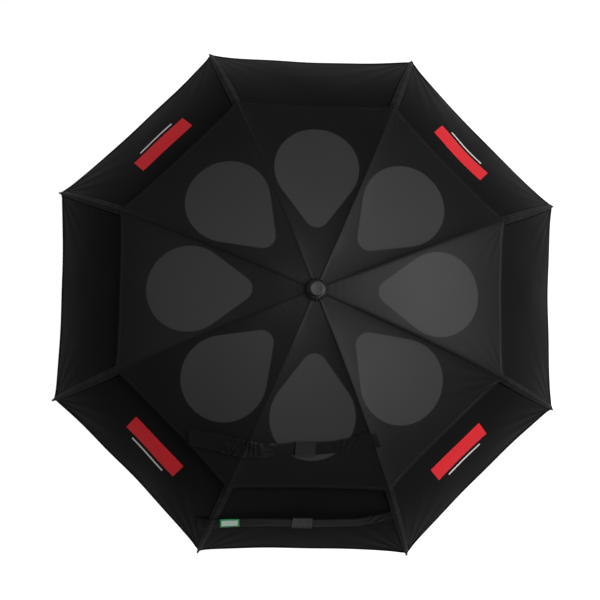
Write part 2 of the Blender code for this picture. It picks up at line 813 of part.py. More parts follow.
def build_ribs():
    """Ribs, stretchers, tips and lower canopy panels, eight of each."""
    meshes = {
        "inner": inner_rib_mesh(),
        "outer": outer_rib_mesh(),
        "tip": tip_mesh(),
        "stretcher": stretcher_mesh(),
        "panel": lower_panel_mesh(),
    }
    end_step = rib_line(RIB_REACH) - rib_line(RIB_REACH - 0.004)
    tip_turn = math.pi / 2 + math.atan2(-end_step.y, end_step.x)
    tip_place = rib_line(RIB_REACH) - end_step.normalized() * 0.0095 - KNUCKLE
    pivots = []
    for n in range(RIBS):
        azimuth = FIRST_RIB + n * RIB_STEP
        number = n + 1
        crown_pivot = pivot_empty(f"rib_pivot_{number}", around(CROWN_PIVOT, azimuth), azimuth)
        put(f"rib_inner_{number}", meshes["inner"], FIBREGLASS, crown_pivot)
        back = (-CROWN_PIVOT.x, 0, -CROWN_PIVOT.y)
        put(f"lower_panel_{number}", meshes["panel"], FABRIC, crown_pivot, back)
        knuckle = (KNUCKLE.x - CROWN_PIVOT.x, 0, KNUCKLE.y - CROWN_PIVOT.y)
        bend = pivot_empty(f"knuckle_pivot_{number}", knuckle, parent=crown_pivot)
        put(f"rib_outer_{number}", meshes["outer"], FIBREGLASS, bend)
        tip = (tip_place.x, 0, tip_place.y)
        put(f"rib_tip_{number}", meshes["tip"], NYLON, bend, tip, (0, tip_turn, 0))
        bracket = (BRACKET.x - CROWN_PIVOT.x, 0, BRACKET.y - CROWN_PIVOT.y)
        put(f"stretcher_{number}", meshes["stretcher"], STEEL, crown_pivot, bracket)
        pivots.append(bend)
    return pivots


def build_straps(knuckle_pivot):
    """The two tie straps and the label, carried by the rib that they are sewn to."""

    def over_upper(reach):
        return upper_lift(reach) + SHEET + STRAP_GAP

    def over_lower(reach):
        return UNDERSIDE_LIFT + SHEET + STRAP_GAP

    def over_strap(reach):
        return over_lower(reach) + STRAP_THICKNESS + LABEL_GAP

    meshes = {
        "tie_strap_long": (strap_mesh(LONG_STRAP, over_upper, UPPER_HOLLOW, "long"), WEBBING),
        "tie_strap_short": (strap_mesh(SHORT_STRAP, over_lower, PANEL_HOLLOW, "short"), WEBBING),
        "strap_label": (label_mesh(over_strap, PANEL_HOLLOW), LABEL),
    }
    bpy.context.view_layer.update()
    for name, (mesh, material) in meshes.items():
        piece = put(name, mesh, material, knuckle_pivot)
        piece.matrix_parent_inverse = knuckle_pivot.matrix_world.inverted()


build_fixed_parts()
build_catches()
build_runner()
knuckle_pivots = build_ribs()
build_straps(knuckle_pivots[STRAP_RIB - 1])
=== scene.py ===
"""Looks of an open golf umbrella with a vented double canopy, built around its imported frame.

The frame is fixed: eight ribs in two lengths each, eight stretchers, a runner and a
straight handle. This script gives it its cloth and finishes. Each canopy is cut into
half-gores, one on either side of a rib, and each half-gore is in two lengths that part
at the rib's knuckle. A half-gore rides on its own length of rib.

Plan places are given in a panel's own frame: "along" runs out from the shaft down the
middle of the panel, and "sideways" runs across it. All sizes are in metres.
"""

import json
import logging
import math
from dataclasses import dataclass, field
from enum import Enum

import bmesh
import bpy
import numpy as np
from mathutils import Matrix, Vector

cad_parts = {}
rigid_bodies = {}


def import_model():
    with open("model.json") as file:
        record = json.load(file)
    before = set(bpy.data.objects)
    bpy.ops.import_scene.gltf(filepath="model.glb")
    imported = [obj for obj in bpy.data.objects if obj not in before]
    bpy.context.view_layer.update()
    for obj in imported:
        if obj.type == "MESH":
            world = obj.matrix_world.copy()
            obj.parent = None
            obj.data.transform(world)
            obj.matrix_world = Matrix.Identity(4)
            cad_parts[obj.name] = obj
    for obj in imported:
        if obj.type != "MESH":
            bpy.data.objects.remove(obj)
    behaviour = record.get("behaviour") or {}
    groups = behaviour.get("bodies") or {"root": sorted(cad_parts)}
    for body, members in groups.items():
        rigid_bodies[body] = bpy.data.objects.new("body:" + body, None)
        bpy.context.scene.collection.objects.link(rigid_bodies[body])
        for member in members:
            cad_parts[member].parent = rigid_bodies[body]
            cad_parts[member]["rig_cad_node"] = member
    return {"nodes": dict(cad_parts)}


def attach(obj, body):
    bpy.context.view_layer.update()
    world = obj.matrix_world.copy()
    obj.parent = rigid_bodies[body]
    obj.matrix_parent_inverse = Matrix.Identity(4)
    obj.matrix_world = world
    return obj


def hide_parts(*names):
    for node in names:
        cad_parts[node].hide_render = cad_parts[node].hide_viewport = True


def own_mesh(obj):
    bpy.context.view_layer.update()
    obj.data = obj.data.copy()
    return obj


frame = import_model()

LOG = logging.getLogger("umbrella")
MM = 0.001
RIBS = 8
STEP = math.tau / RIBS
HALF = STEP / 2
BAND = math.tau / 20  # spacing of a wave texture's bands at a scale of one
SHARP_TURN = math.radians(40)
SHARP_STRAP = math.radians(70)
NUDGE = 1e-5  # step over which a slope is measured, and distance at which points are joined

Array = np.ndarray


class Length(Enum):
    """The two lengths of a rib, either side of its knuckle."""

    INNER = "inner"
    OUTER = "outer"


class Side(Enum):
    """The side of a rib that a piece lies on, going round anticlockwise."""

    BEFORE = -1
    AFTER = 1


# ---- small helpers --------------------------------------------------------------
def linear(hex_colour: str) -> tuple[float, float, float, float]:
    """Turn an sRGB hex colour into the linear RGBA that shaders take.

    Args:
        hex_colour: a colour such as "#1a1a1c".

    Returns:
        Red, green, blue and an alpha of one.
    """
    parts = [int(hex_colour[n : n + 2], 16) / 255 for n in (1, 3, 5)]
    red, green, blue = [p / 12.92 if p <= 0.04045 else ((p + 0.055) / 1.055) ** 2.4 for p in parts]
    return red, green, blue, 1.0


def shade(colour: tuple[float, ...], share: float) -> tuple[float, ...]:
    """A linear colour made darker or paler by a share."""
    return tuple(share * part for part in colour[:3]) + (1.0,)


def heading(azimuth: float, elevation: float) -> Vector:
    """The unit step towards an azimuth and elevation in radians."""
    level = math.cos(elevation)
    return Vector((level * math.cos(azimuth), level * math.sin(azimuth), math.sin(elevation)))


def smooth(value: Array, start: float, end: float) -> Array:
    """Ease from 0 at start to 1 at end.

    Args:
        value: the numbers to ease.
        start: where the result is still 0.
        end: where it has reached 1.

    Returns:
        An array of shares between 0 and 1.
    """
    share = np.clip((value - start) / (end - start), 0.0, 1.0)
    return share * share * (3 - 2 * share)


def add_node(
    tree: bpy.types.NodeTree, kind: str, settings: dict | None = None, links: dict | None = None
) -> bpy.types.Node:
    """Add a shader node with its settings and its links.

    Args:
        tree: the node tree it goes in.
        kind: the node's type name without its "ShaderNode" prefix.
        settings: values for its sockets, or for its own properties.
        links: the output socket that each named or numbered input takes.

    Returns:
        The new node.
    """
    node = tree.nodes.new("ShaderNode" + kind)
    for name, value in (settings or {}).items():
        if isinstance(name, str) and hasattr(node, name):
            setattr(node, name, value)
        else:
            node.inputs[name].default_value = value
    for name, source in (links or {}).items():
        tree.links.new(source, node.inputs[name])
    return node


def mesh_object(
    name: str, points: Array, faces: list, uvs: Array | None = None
) -> bpy.types.Object:
    """Make a smooth-shaded mesh object from points and faces.

    Args:
        name: the piece's name.
        points: one row of three coordinates for each point.
        faces: tuples of point numbers.
        uvs: one pair of cloth coordinates in metres for each point.

    Returns:
        The linked object, with its place in its mesh.
    """
    mesh = bpy.data.meshes.new(name)
    mesh.from_pydata(points.reshape(-1, 3).tolist(), [], faces)
    if uvs is not None:
        corners = np.zeros(len(mesh.loops), np.int32)
        mesh.loops.foreach_get("vertex_index", corners)
        layer = mesh.uv_layers.new(name="cloth")
        layer.data.foreach_set("uv", uvs.reshape(-1, 2)[corners].astype(np.float32).ravel())
    mesh.shade_smooth()
    piece = bpy.data.objects.new(name, mesh)
    bpy.context.scene.collection.objects.link(piece)
    return piece


def grid_faces(rows: int, columns: int, flip: bool, closed: bool = False, first: int = 0) -> list:
    """Quads of a grid of points.

    Args:
        rows: how many rows of points there are.
        columns: how many points each row has.
        flip: turn the faces over.
        closed: join each row's last point to its first.
        first: the number of the grid's first point.

    Returns:
        Tuples of four point numbers.
    """
    faces = []
    for row in range(rows - 1):
        for column in range(columns if closed else columns - 1):
            near = first + row * columns + column
            beside = first + row * columns + (column + 1) % columns
            quad = (near, near + columns, beside + columns, beside)
            faces.append(quad[::-1] if flip else quad)
    return faces


def facing_up(points: Array) -> bool:
    """Whether a grid's faces, wound row by row, look outward from the canopy.

    Args:
        points: the grid's points, in rows and columns.

    Returns:
        True when they look up and out.
    """
    middle = points[points.shape[0] // 2, points.shape[1] // 2 - 1]
    along = points[points.shape[0] // 2 + 1, points.shape[1] // 2 - 1] - middle
    beside = points[points.shape[0] // 2, points.shape[1] // 2] - middle
    return bool(np.cross(along, beside)[2] > 0)


def turned(
    name: str, profile: list, segments: int, flute: tuple[int, float] = (0, 0.0)
) -> bpy.types.Object:
    """Turn a profile about the shaft into a closed piece.

    Args:
        name: the piece's name.
        profile: (radius, height) points down the outer side and back up the bore. A
            third value says what share of the flutes' depth a point takes.
        segments: how many steps the turn takes.
        flute: how many flutes go round, and how deep they are as a share of the radius.

    Returns:
        The turned piece.
    """
    angles = np.linspace(0, math.tau, segments, endpoint=False)
    line = np.array([(p[0], p[1], p[2] if len(p) > 2 else 0.0) for p in profile])
    count, depth = flute
    wave = 1 - depth * line[:, 2:3] * (0.5 - 0.5 * np.cos(count * angles))[None, :] ** 0.8
    radii = line[:, 0:1] * wave
    heights = np.repeat(line[:, 1:2], segments, axis=1)
    points = np.stack([radii * np.cos(angles), radii * np.sin(angles), heights], axis=-1)
    if profile[0] != profile[-1] and profile[0][0] > 0:
        points = np.concatenate([points, points[:1]])
    piece = mesh_object(name, points, grid_faces(len(points), segments, flip=False, closed=True))
    weld(piece)
    piece.data.set_sharp_from_angle(angle=SHARP_TURN)
    return piece


def weld(piece: bpy.types.Object) -> None:
    """Join points of a piece that stand in one place, and drop what that flattens.

    Args:
        piece: the piece to weld.
    """
    step = piece.modifiers.new("weld", "WELD")
    step.merge_threshold = NUDGE
    apply_modifiers(piece)


def apply_modifiers(piece: bpy.types.Object) -> None:
    """Put a piece's modifiers into its mesh.

    Args:
        piece: the piece, whose modifiers are then gone.
    """
    depsgraph = bpy.context.evaluated_depsgraph_get()
    mesh = bpy.data.meshes.new_from_object(piece.evaluated_get(depsgraph), depsgraph=depsgraph)
    piece.modifiers.clear()
    piece.data = mesh


# ---- finishes -------------------------------------------------------------------
@dataclass(frozen=True)
class Finish:
    """A finish made from one main shader, with its pattern added by each kind."""

    name: str
    slot: str
    colour: str
    roughness: float
    metallic: float = 0.0
    ior: float = 1.5

    def material(self) -> bpy.types.Material:
        """Make the finish's material, or give the one already made.

        Returns:
            A material with the finish's name.
        """
        made = bpy.data.materials.get(self.name)
        if made:
            return made
        made = bpy.data.materials.new(self.name)
        made.use_nodes = True
        shader = made.node_tree.nodes["Principled BSDF"]
        shader.inputs["Base Color"].default_value = linear(self.colour)
        shader.inputs["Roughness"].default_value = self.roughness
        shader.inputs["Metallic"].default_value = self.metallic
        if not self.metallic:
            shader.inputs["IOR"].default_value = self.ior
        self.pattern(made.node_tree, shader)
        return made

    def pattern(self, tree: bpy.types.NodeTree, shader: bpy.types.Node) -> None:
        """Add what the surface shows over its plain colour; each kind of finish has its own.

        Args:
            tree: the material's node tree.
            shader: its main shader.
        """

    def put_on(self, piece: bpy.types.Object) -> None:
        """Give a piece this finish.

        Args:
            piece: a new piece, or a node of the frame.
        """
        piece.data.materials.clear()
        piece.data.materials.append(self.material())

    @staticmethod
    def place(tree: bpy.types.NodeTree, kind: str = "Object") -> bpy.types.NodeSocket:
        """The surface's own place in metres, which moves with the piece, or the sky's direction."""
        return add_node(tree, "TexCoord").outputs[kind]

    @staticmethod
    def bump(
        tree: bpy.types.NodeTree,
        shader: bpy.types.Node,
        height: bpy.types.NodeSocket,
        depth: float,
    ) -> None:
        """Emboss the shader.

        Args:
            tree: the material's node tree.
            shader: its main shader.
            height: the socket that gives the relief, from 0 to 1.
            depth: how deep a relief of 1 is, in metres.
        """
        bump = add_node(tree, "Bump", {"Strength": 1.0, "Distance": depth}, {"Height": height})
        tree.links.new(bump.outputs["Normal"], shader.inputs["Normal"])


@dataclass(frozen=True)
class WovenPongee(Finish):
    """Black pongee, a plain weave of fine polyester, calendered and coated.

    The coating gives a soft broad shine over a matt black, and the weave only breaks it up.
    """

    thread: float = 2.4 * MM  # real threads are 0.12 mm apart, too fine to show, so drawn coarser
    depth: float = 0.05 * MM
    sheen: float = 0.01
    shine: float = 0.17
    # Painted light: a paler colour over each vent, for light shining through the one layer of cloth
    # there.
    painted_through_light_colour: str = ""
    painted_light_edge: float = 0.9 * MM
    wander: float = 0.4
    clouds_per_metre: float = 9.0  # the coating varies over about 110 mm
    cloud_gloss: float = 0.05
    cloud_tone: float = 1.25

    def pattern(self, tree: bpy.types.NodeTree, shader: bpy.types.Node) -> None:
        """Weave, slow unevenness of the coating and, where it backs a vent, a paler patch of
        painted light for light shining through the single layer.

        Args:
            tree: the material's node tree.
            shader: its main shader.
        """
        uv = add_node(tree, "UVMap", {"uv_map": "cloth"}).outputs["UV"]
        waves = []
        for direction in ("X", "Y"):
            wave = add_node(
                tree,
                "TexWave",
                {
                    "bands_direction": direction,
                    "Scale": BAND / self.thread,
                    "Distortion": self.wander,
                },
                {"Vector": uv},
            )
            waves.append(wave.outputs["Fac"])
        weave = add_node(tree, "Math", {"operation": "MAXIMUM"}, {0: waves[0], 1: waves[1]})
        cloud = add_node(
            tree,
            "TexNoise",
            {"Scale": self.clouds_per_metre, "Detail": 3.0, "Roughness": 0.5},
            {"Vector": uv},
        )
        self.bump(tree, shader, weave.outputs[0], self.depth)
        shader.inputs["Sheen Weight"].default_value = self.sheen
        shader.inputs["Sheen Roughness"].default_value = 0.5
        shader.inputs["Specular IOR Level"].default_value = self.shine
        uneven = add_node(
            tree,
            "MapRange",
            {
                "To Min": self.roughness - self.cloud_gloss,
                "To Max": self.roughness + self.cloud_gloss,
            },
            {"Value": cloud.outputs["Fac"]},
        )
        tree.links.new(uneven.outputs["Result"], shader.inputs["Roughness"])
        dark, pale = linear(self.colour), linear(self.painted_through_light_colour or self.colour)
        worn = add_node(
            tree,
            "Mix",
            {"data_type": "RGBA", 6: dark, 7: shade(dark, self.cloud_tone)},
            {0: cloud.outputs["Fac"]},
        )
        colour = worn.outputs[2]
        # Painted light: the cloth over a vent is painted paler, as light through the single layer
        # would show.
        if self.painted_through_light_colour:
            gap = add_node(tree, "Attribute", {"attribute_name": "vent_gap"}).outputs["Fac"]
            inside = add_node(
                tree,
                "MapRange",
                {
                    "From Min": -self.painted_light_edge,
                    "From Max": self.painted_light_edge,
                    "To Min": 1.0,
                    "To Max": 0.0,
                },
                {"Value": gap},
            )
            patch = add_node(
                tree,
                "Mix",
                {"data_type": "RGBA", 7: pale},
                {0: inside.outputs["Result"], 6: colour},
            )
            colour = patch.outputs[2]
        tree.links.new(colour, shader.inputs["Base Color"])


@dataclass(frozen=True)
class RibbedWeb(Finish):
    """Grosgrain: a narrow weave with cords across it, which catch the light one by one."""

    cord: float = 2.2 * MM  # real cords are 0.8 mm apart; drawn coarser so that they show
    depth: float = 0.25 * MM
    wander: float = 0.6
    yarns_per_metre: float = 900.0  # about 1.1 mm apart
    sheen: float = 0.08
    shine: float = 0.3

    def pattern(self, tree: bpy.types.NodeTree, shader: bpy.types.Node) -> None:
        """Cords across the strip, and fine noise for the yarn.

        Args:
            tree: the material's node tree.
            shader: its main shader.
        """
        uv = add_node(tree, "UVMap", {"uv_map": "cloth"}).outputs["UV"]
        cords = add_node(
            tree,
            "TexWave",
            {"bands_direction": "X", "Scale": BAND / self.cord, "Distortion": self.wander},
            {"Vector": uv},
        )
        yarn = add_node(
            tree, "TexNoise", {"Scale": self.yarns_per_metre, "Detail": 2.0}, {"Vector": uv}
        )
        both = add_node(
            tree,
            "Math",
            {"operation": "ADD"},
            {0: cords.outputs["Fac"], 1: yarn.outputs["Fac"]},
        )
        self.bump(tree, shader, both.outputs[0], self.depth)
        shader.inputs["Sheen Weight"].default_value = self.sheen
        shader.inputs["Specular IOR Level"].default_value = self.shine


@dataclass(frozen=True)
class PrintedInk(Finish):
    """Screen-printed plastisol: a flat, slightly rubbery film that half fills the weave."""

    weaves_per_metre: float = 600.0  # about 1.7 mm apart, coarser than life so that they show
    spots_per_metre: float = 60.0
    thin_tone: float = 0.88
    depth: float = 0.05 * MM
    shine: float = 0.25

    def pattern(self, tree: bpy.types.NodeTree, shader: bpy.types.Node) -> None:
        """Weave grinning through the film, and small thin spots in the colour.

        Args:
            tree: the material's node tree.
            shader: its main shader.
        """
        uv = add_node(tree, "UVMap", {"uv_map": "cloth"}).outputs["UV"]
        weave = add_node(
            tree, "TexNoise", {"Scale": self.weaves_per_metre, "Detail": 1.0}, {"Vector": uv}
        )
        thin = add_node(
            tree, "TexNoise", {"Scale": self.spots_per_metre, "Detail": 4.0}, {"Vector": uv}
        )
        ink = linear(self.colour)
        colour = add_node(
            tree,
            "Mix",
            {"data_type": "RGBA", 6: shade(ink, self.thin_tone), 7: ink},
            {0: thin.outputs["Fac"]},
        )
        tree.links.new(colour.outputs[2], shader.inputs["Base Color"])
        self.bump(tree, shader, weave.outputs["Fac"], self.depth)
        shader.inputs["Specular IOR Level"].default_value = self.shine


@dataclass(frozen=True)
class MouldedNylon(Finish):
    """Injection-moulded glass-filled nylon from a spark-eroded tool.

    The tool leaves a fine even grain that scatters the highlight.
    """

    grain: float = 0.6 * MM
    depth: float = 0.06 * MM
    rubs_per_metre: float = 45.0  # worn patches about 22 mm across
    polish: float = 0.08
    rubbed_tone: float = 1.5

    def pattern(self, tree: bpy.types.NodeTree, shader: bpy.types.Node) -> None:
        """Eroded grain and slow patches where hands have polished it.

        Args:
            tree: the material's node tree.
            shader: its main shader.
        """
        place = self.place(tree)
        grain = add_node(
            tree, "TexNoise", {"Scale": 1 / self.grain, "Detail": 2.0}, {"Vector": place}
        )
        rubbed = add_node(
            tree, "TexNoise", {"Scale": self.rubs_per_metre, "Detail": 2.0}, {"Vector": place}
        )
        self.bump(tree, shader, grain.outputs["Fac"], self.depth)
        polish = add_node(
            tree,
            "MapRange",
            {"To Min": self.roughness - self.polish, "To Max": self.roughness + self.polish},
            {"Value": rubbed.outputs["Fac"]},
        )
        tree.links.new(polish.outputs["Result"], shader.inputs["Roughness"])
        base = linear(self.colour)
        tone = add_node(
            tree,
            "Mix",
            {"data_type": "RGBA", 6: base, 7: shade(base, self.rubbed_tone)},
            {0: rubbed.outputs["Fac"]},
        )
        tree.links.new(tone.outputs[2], shader.inputs["Base Color"])


@dataclass(frozen=True)
class PulledFibreglass(Finish):
    """Pultruded fibreglass: resin over straight glass strands.

    It is glossy, with faint lines along the rod.
    """

    strand: float = 0.5 * MM
    streaks_per_metre: float = 18.0  # a line runs on for about 55 mm
    depth: float = 0.04 * MM
    strand_tone: float = 2.0
    coat: float = 0.3
    coat_roughness: float = 0.15

    def pattern(self, tree: bpy.types.NodeTree, shader: bpy.types.Node) -> None:
        """Strands drawn out along the rod, seen in the gloss and faintly in the colour.

        Args:
            tree: the material's node tree.
            shader: its main shader.
        """
        place = self.place(tree)
        stretched = add_node(
            tree,
            "Mapping",
            {"Scale": (1 / self.strand, 1 / self.strand, self.streaks_per_metre)},
            {"Vector": place},
        )
        strands = add_node(
            tree, "TexNoise", {"Scale": 1.0, "Detail": 3.0}, {"Vector": stretched.outputs["Vector"]}
        )
        self.bump(tree, shader, strands.outputs["Fac"], self.depth)
        base = linear(self.colour)
        tone = add_node(
            tree,
            "Mix",
            {"data_type": "RGBA", 6: base, 7: shade(base, self.strand_tone)},
            {0: strands.outputs["Fac"]},
        )
        tree.links.new(tone.outputs[2], shader.inputs["Base Color"])
        shader.inputs["Coat Weight"].default_value = self.coat
        shader.inputs["Coat Roughness"].default_value = self.coat_roughness


@dataclass(frozen=True)
class PlatedSteel(Finish):
    """Bright zinc plate on drawn steel: grey metal with soft scuffs."""

    spangles_per_metre: float = 220.0  # crystals about 4.5 mm across
    scuffs_per_metre: float = 900.0
    dull_tone: float = 0.75
    smoother: float = 0.1
    rougher: float = 0.12

    def pattern(self, tree: bpy.types.NodeTree, shader: bpy.types.Node) -> None:
        """Patchy spangle in the tone, and scuffs in the roughness.

        Args:
            tree: the material's node tree.
            shader: its main shader.
        """
        place = self.place(tree)
        spangle = add_node(
            tree, "TexNoise", {"Scale": self.spangles_per_metre, "Detail": 3.0}, {"Vector": place}
        )
        scuffs = add_node(
            tree, "TexNoise", {"Scale": self.scuffs_per_metre, "Detail": 2.0}, {"Vector": place}
        )
        base = linear(self.colour)
        tone = add_node(
            tree,
            "Mix",
            {"data_type": "RGBA", 6: shade(base, self.dull_tone), 7: base},
            {0: spangle.outputs["Fac"]},
        )
        tree.links.new(tone.outputs[2], shader.inputs["Base Color"])
        rough = add_node(
            tree,
            "MapRange",
            {"To Min": self.roughness - self.smoother, "To Max": self.roughness + self.rougher},
            {"Value": scuffs.outputs["Fac"]},
        )
        tree.links.new(rough.outputs["Result"], shader.inputs["Roughness"])


@dataclass(frozen=True)
class ClosedFoam(Finish):
    """Moulded EVA foam: closed cells cut open at the skin, dull, with a faint pitting."""

    cell: float = 0.9 * MM
    depth: float = 0.25 * MM
    dust_per_metre: float = 60.0
    dust_tone: float = 1.8

    def pattern(self, tree: bpy.types.NodeTree, shader: bpy.types.Node) -> None:
        """Cells in the relief, and dust in the colour where the foam is handled.

        Args:
            tree: the material's node tree.
            shader: its main shader.
        """
        place = self.place(tree)
        cells = add_node(tree, "TexVoronoi", {"Scale": 1 / self.cell}, {"Vector": place})
        dust = add_node(
            tree, "TexNoise", {"Scale": self.dust_per_metre, "Detail": 4.0}, {"Vector": place}
        )
        self.bump(tree, shader, cells.outputs["Distance"], self.depth)
        base = linear(self.colour)
        tone = add_node(
            tree,
            "Mix",
            {"data_type": "RGBA", 6: base, 7: shade(base, self.dust_tone)},
            {0: dust.outputs["Fac"]},
        )
        tree.links.new(tone.outputs[2], shader.inputs["Base Color"])


PONGEE = WovenPongee("black_pongee", "canopy_fabric", "#101011", 0.55, shine=0.07)
# The upper canopy's cloth, painted paler over the vents as light through the single layer.
PONGEE_WITH_PAINTED_VENT_LIGHT = WovenPongee(
    "black_pongee_over_vents", "canopy_fabric", "#121213", 0.50, painted_through_light_colour="#373738"
)
STRAP_CLOTH = WovenPongee("strap_pongee", "strap_fabric", "#151516", 0.42, thread=2.8 * MM)
TAPE_PONGEE = WovenPongee(
    "tape_pongee", "canopy_fabric", "#161617", 0.55, thread=2.8 * MM, shine=0.08
)
# Painted shadow: near-black cloth on the rib tapes' turned edges and inner ends, standing in for
# the shade in the gap under each raised tape.
PAINTED_TAPE_EDGE_SHADOW = WovenPongee(
    "thread_sewn_edge", "canopy_fabric", "#060606", 0.80, thread=2.8 * MM, shine=0.03
)
KEEPER_WEB = RibbedWeb("keeper_grosgrain", "strap_fabric", "#1f1f21", 0.60)
RED_INK = PrintedInk("red_screen_print", "canopy_fabric", "#ee2a34", 0.55)
WHITE_INK = PrintedInk("white_screen_print", "canopy_fabric", "#e9e7e4", 0.55)
GREEN_WEAVE = RibbedWeb(
    "green_label_weave", "label_cloth", "#1f9a55", 0.70, cord=1.0 * MM, depth=0.08 * MM
)
WHITE_WEAVE = RibbedWeb(
    "white_label_weave", "label_cloth", "#cfe3d6", 0.70, cord=1.0 * MM, depth=0.08 * MM
)
NYLON = MouldedNylon("black_glass_filled_nylon", "moulded_nylon", "#19191b", 0.50, ior=1.53)
FIBREGLASS = PulledFibreglass("black_fibreglass", "fibreglass", "#1a1a1d", 0.30, ior=1.55)
STEEL = PlatedSteel("zinc_plated_steel", "steel", "#c3c4c8", 0.30, metallic=1.0)
FOAM = ClosedFoam("black_eva_foam", "eva_foam", "#1d1d1e", 0.85)


# ---- the rib's line and the canopy's surfaces -------------------------------------
@dataclass(frozen=True)
class RibLine:
    """The line that each rib follows, given by its radius and height at a reach."""

    pivot_radius: float = 0.018
    crown_height: float = 0.955
    knuckle_reach: float = 0.360
    knuckle_lift: float = 0.004
    inner_slope: float = math.radians(12)
    inner_bow: float = 0.017
    outer_slope: float = math.radians(38)
    outer_reach: float = 0.384
    outer_bow: float = 0.0275
    normal_step: float = 0.002
    spare: float = 0.05
    samples: int = 4000

    @staticmethod
    def along(slope: float) -> Array:
        """The unit step down a slope, as radius and height."""
        return np.array([math.cos(slope), -math.sin(slope)])

    @staticmethod
    def out(slope: float) -> Array:
        """The unit step outward from a slope, as radius and height."""
        return np.array([math.sin(slope), math.cos(slope)])

    @property
    def crown(self) -> Array:
        """Radius and height of the crown pivot."""
        return np.array([self.pivot_radius, self.crown_height])

    @property
    def knuckle(self) -> Array:
        """Radius and height of the knuckle."""
        run = self.along(self.inner_slope) * self.knuckle_reach
        return self.crown + run + self.out(self.inner_slope) * self.knuckle_lift

    def at(self, reach: Array) -> tuple[Array, Array]:
        """Radius and height of the rib's centre line.

        Args:
            reach: distances along the rib's two chords.

        Returns:
            An array of radii and one of heights.
        """
        reach = np.asarray(reach, float)
        near = reach / self.knuckle_reach
        far = (reach - self.knuckle_reach) / self.outer_reach
        near_bow = self.knuckle_lift * near + 4 * self.inner_bow * near * (1 - near)
        far_bow = 4 * self.outer_bow * far * (1 - far)
        inner, outer = self.crown, self.knuckle
        inner_along, inner_out = self.along(self.inner_slope), self.out(self.inner_slope)
        outer_along, outer_out = self.along(self.outer_slope), self.out(self.outer_slope)
        is_inner = reach <= self.knuckle_reach
        made = []
        past = reach - self.knuckle_reach
        for n in (0, 1):
            close = inner[n] + inner_along[n] * reach + inner_out[n] * near_bow
            distant = outer[n] + outer_along[n] * past + outer_out[n] * far_bow
            made.append(np.where(is_inner, close, distant))
        return made[0], made[1]

    def outward(self, reach: Array) -> tuple[Array, Array]:
        """The line's outward normal, as radius and height.

        Args:
            reach: distances along the rib.

        Returns:
            The normal's radial parts and its upward parts.
        """
        far_radius, far_height = self.at(np.asarray(reach) + self.normal_step)
        radius, height = self.at(np.asarray(reach) - self.normal_step)
        run, rise = far_radius - radius, far_height - height
        size = np.hypot(run, rise)
        return -rise / size, run / size

    def reach_at(self, radius: Array) -> Array:
        """The reach at which the line has a radius.

        Args:
            radius: distances from the shaft.

        Returns:
            The reaches, read from the line's samples.
        """
        end = self.knuckle_reach + self.outer_reach + self.spare
        reaches = np.linspace(-self.pivot_radius, end, self.samples)
        return np.interp(radius, self.at(reaches)[0], reaches)

    def chord(self, length: Length) -> tuple[Array, Array]:
        """Where a length's chord starts, and its outward normal, as radius and height.

        Args:
            length: the length of rib.

        Returns:
            The start and the normal.
        """
        if length is Length.OUTER:
            return self.knuckle, self.out(self.outer_slope)
        run = self.knuckle - self.crown
        run = run / np.linalg.norm(run)
        return self.crown, np.array([-run[1], run[0]])


@dataclass(frozen=True)
class Vent:
    """Pear-shaped vent in each panel.

    Its outline is two circles, the wider one towards the hem, and their tangents.
    """

    wide_at: float = 0.288
    wide_radius: float = 0.098
    narrow_at: float = 0.173
    narrow_radius: float = 0.029
    binding: float = 7.0 * MM
    binding_rise: float = 0.9 * MM

    @property
    def lean(self) -> float:
        """Angle from the outward direction at which the tangents leave the circles."""
        return math.acos((self.narrow_radius - self.wide_radius) / (self.wide_at - self.narrow_at))

    def gap(self, along: Array, sideways: Array) -> Array:
        """Distance from the vent's outline in plan, below zero inside it.

        Args:
            along: distances down the middle of the panel.
            sideways: distances across it.

        Returns:
            The signed distances.
        """
        run = self.wide_at - self.narrow_at
        slant = (self.narrow_radius - self.wide_radius) / run
        level = math.sqrt(1 - slant * slant)
        out, up = np.abs(sideways), along - self.narrow_at
        past = -slant * out + level * up
        low = np.hypot(out, up) - self.narrow_radius
        high = np.hypot(out, up - run) - self.wide_radius
        flank = level * out + slant * up - self.narrow_radius
        return np.where(past < 0, low, np.where(past > level * run, high, flank))

    def outline(self, steps: int) -> tuple[Array, Array]:
        """Half of the outline, from its narrow end to its wide end.

        Args:
            steps: how many points it has.

        Returns:
            The points' places along and sideways.
        """
        turn = math.pi - self.lean
        low = math.pi - np.linspace(0, turn, steps // 4)
        high = np.linspace(self.lean, 0, steps - steps // 4)
        along = [
            self.narrow_at + self.narrow_radius * np.cos(low),
            self.wide_at + self.wide_radius * np.cos(high),
        ]
        sideways = [self.narrow_radius * np.sin(low), self.wide_radius * np.sin(high)]
        flank = np.linspace(0, 1, steps // 2)[1:-1]
        between = [a[-1] * (1 - flank) + b[0] * flank for a, b in (along, sideways)]
        return (
            np.concatenate([along[0], between[0], along[1]]),
            np.concatenate([sideways[0], between[1], sideways[1]]),
        )


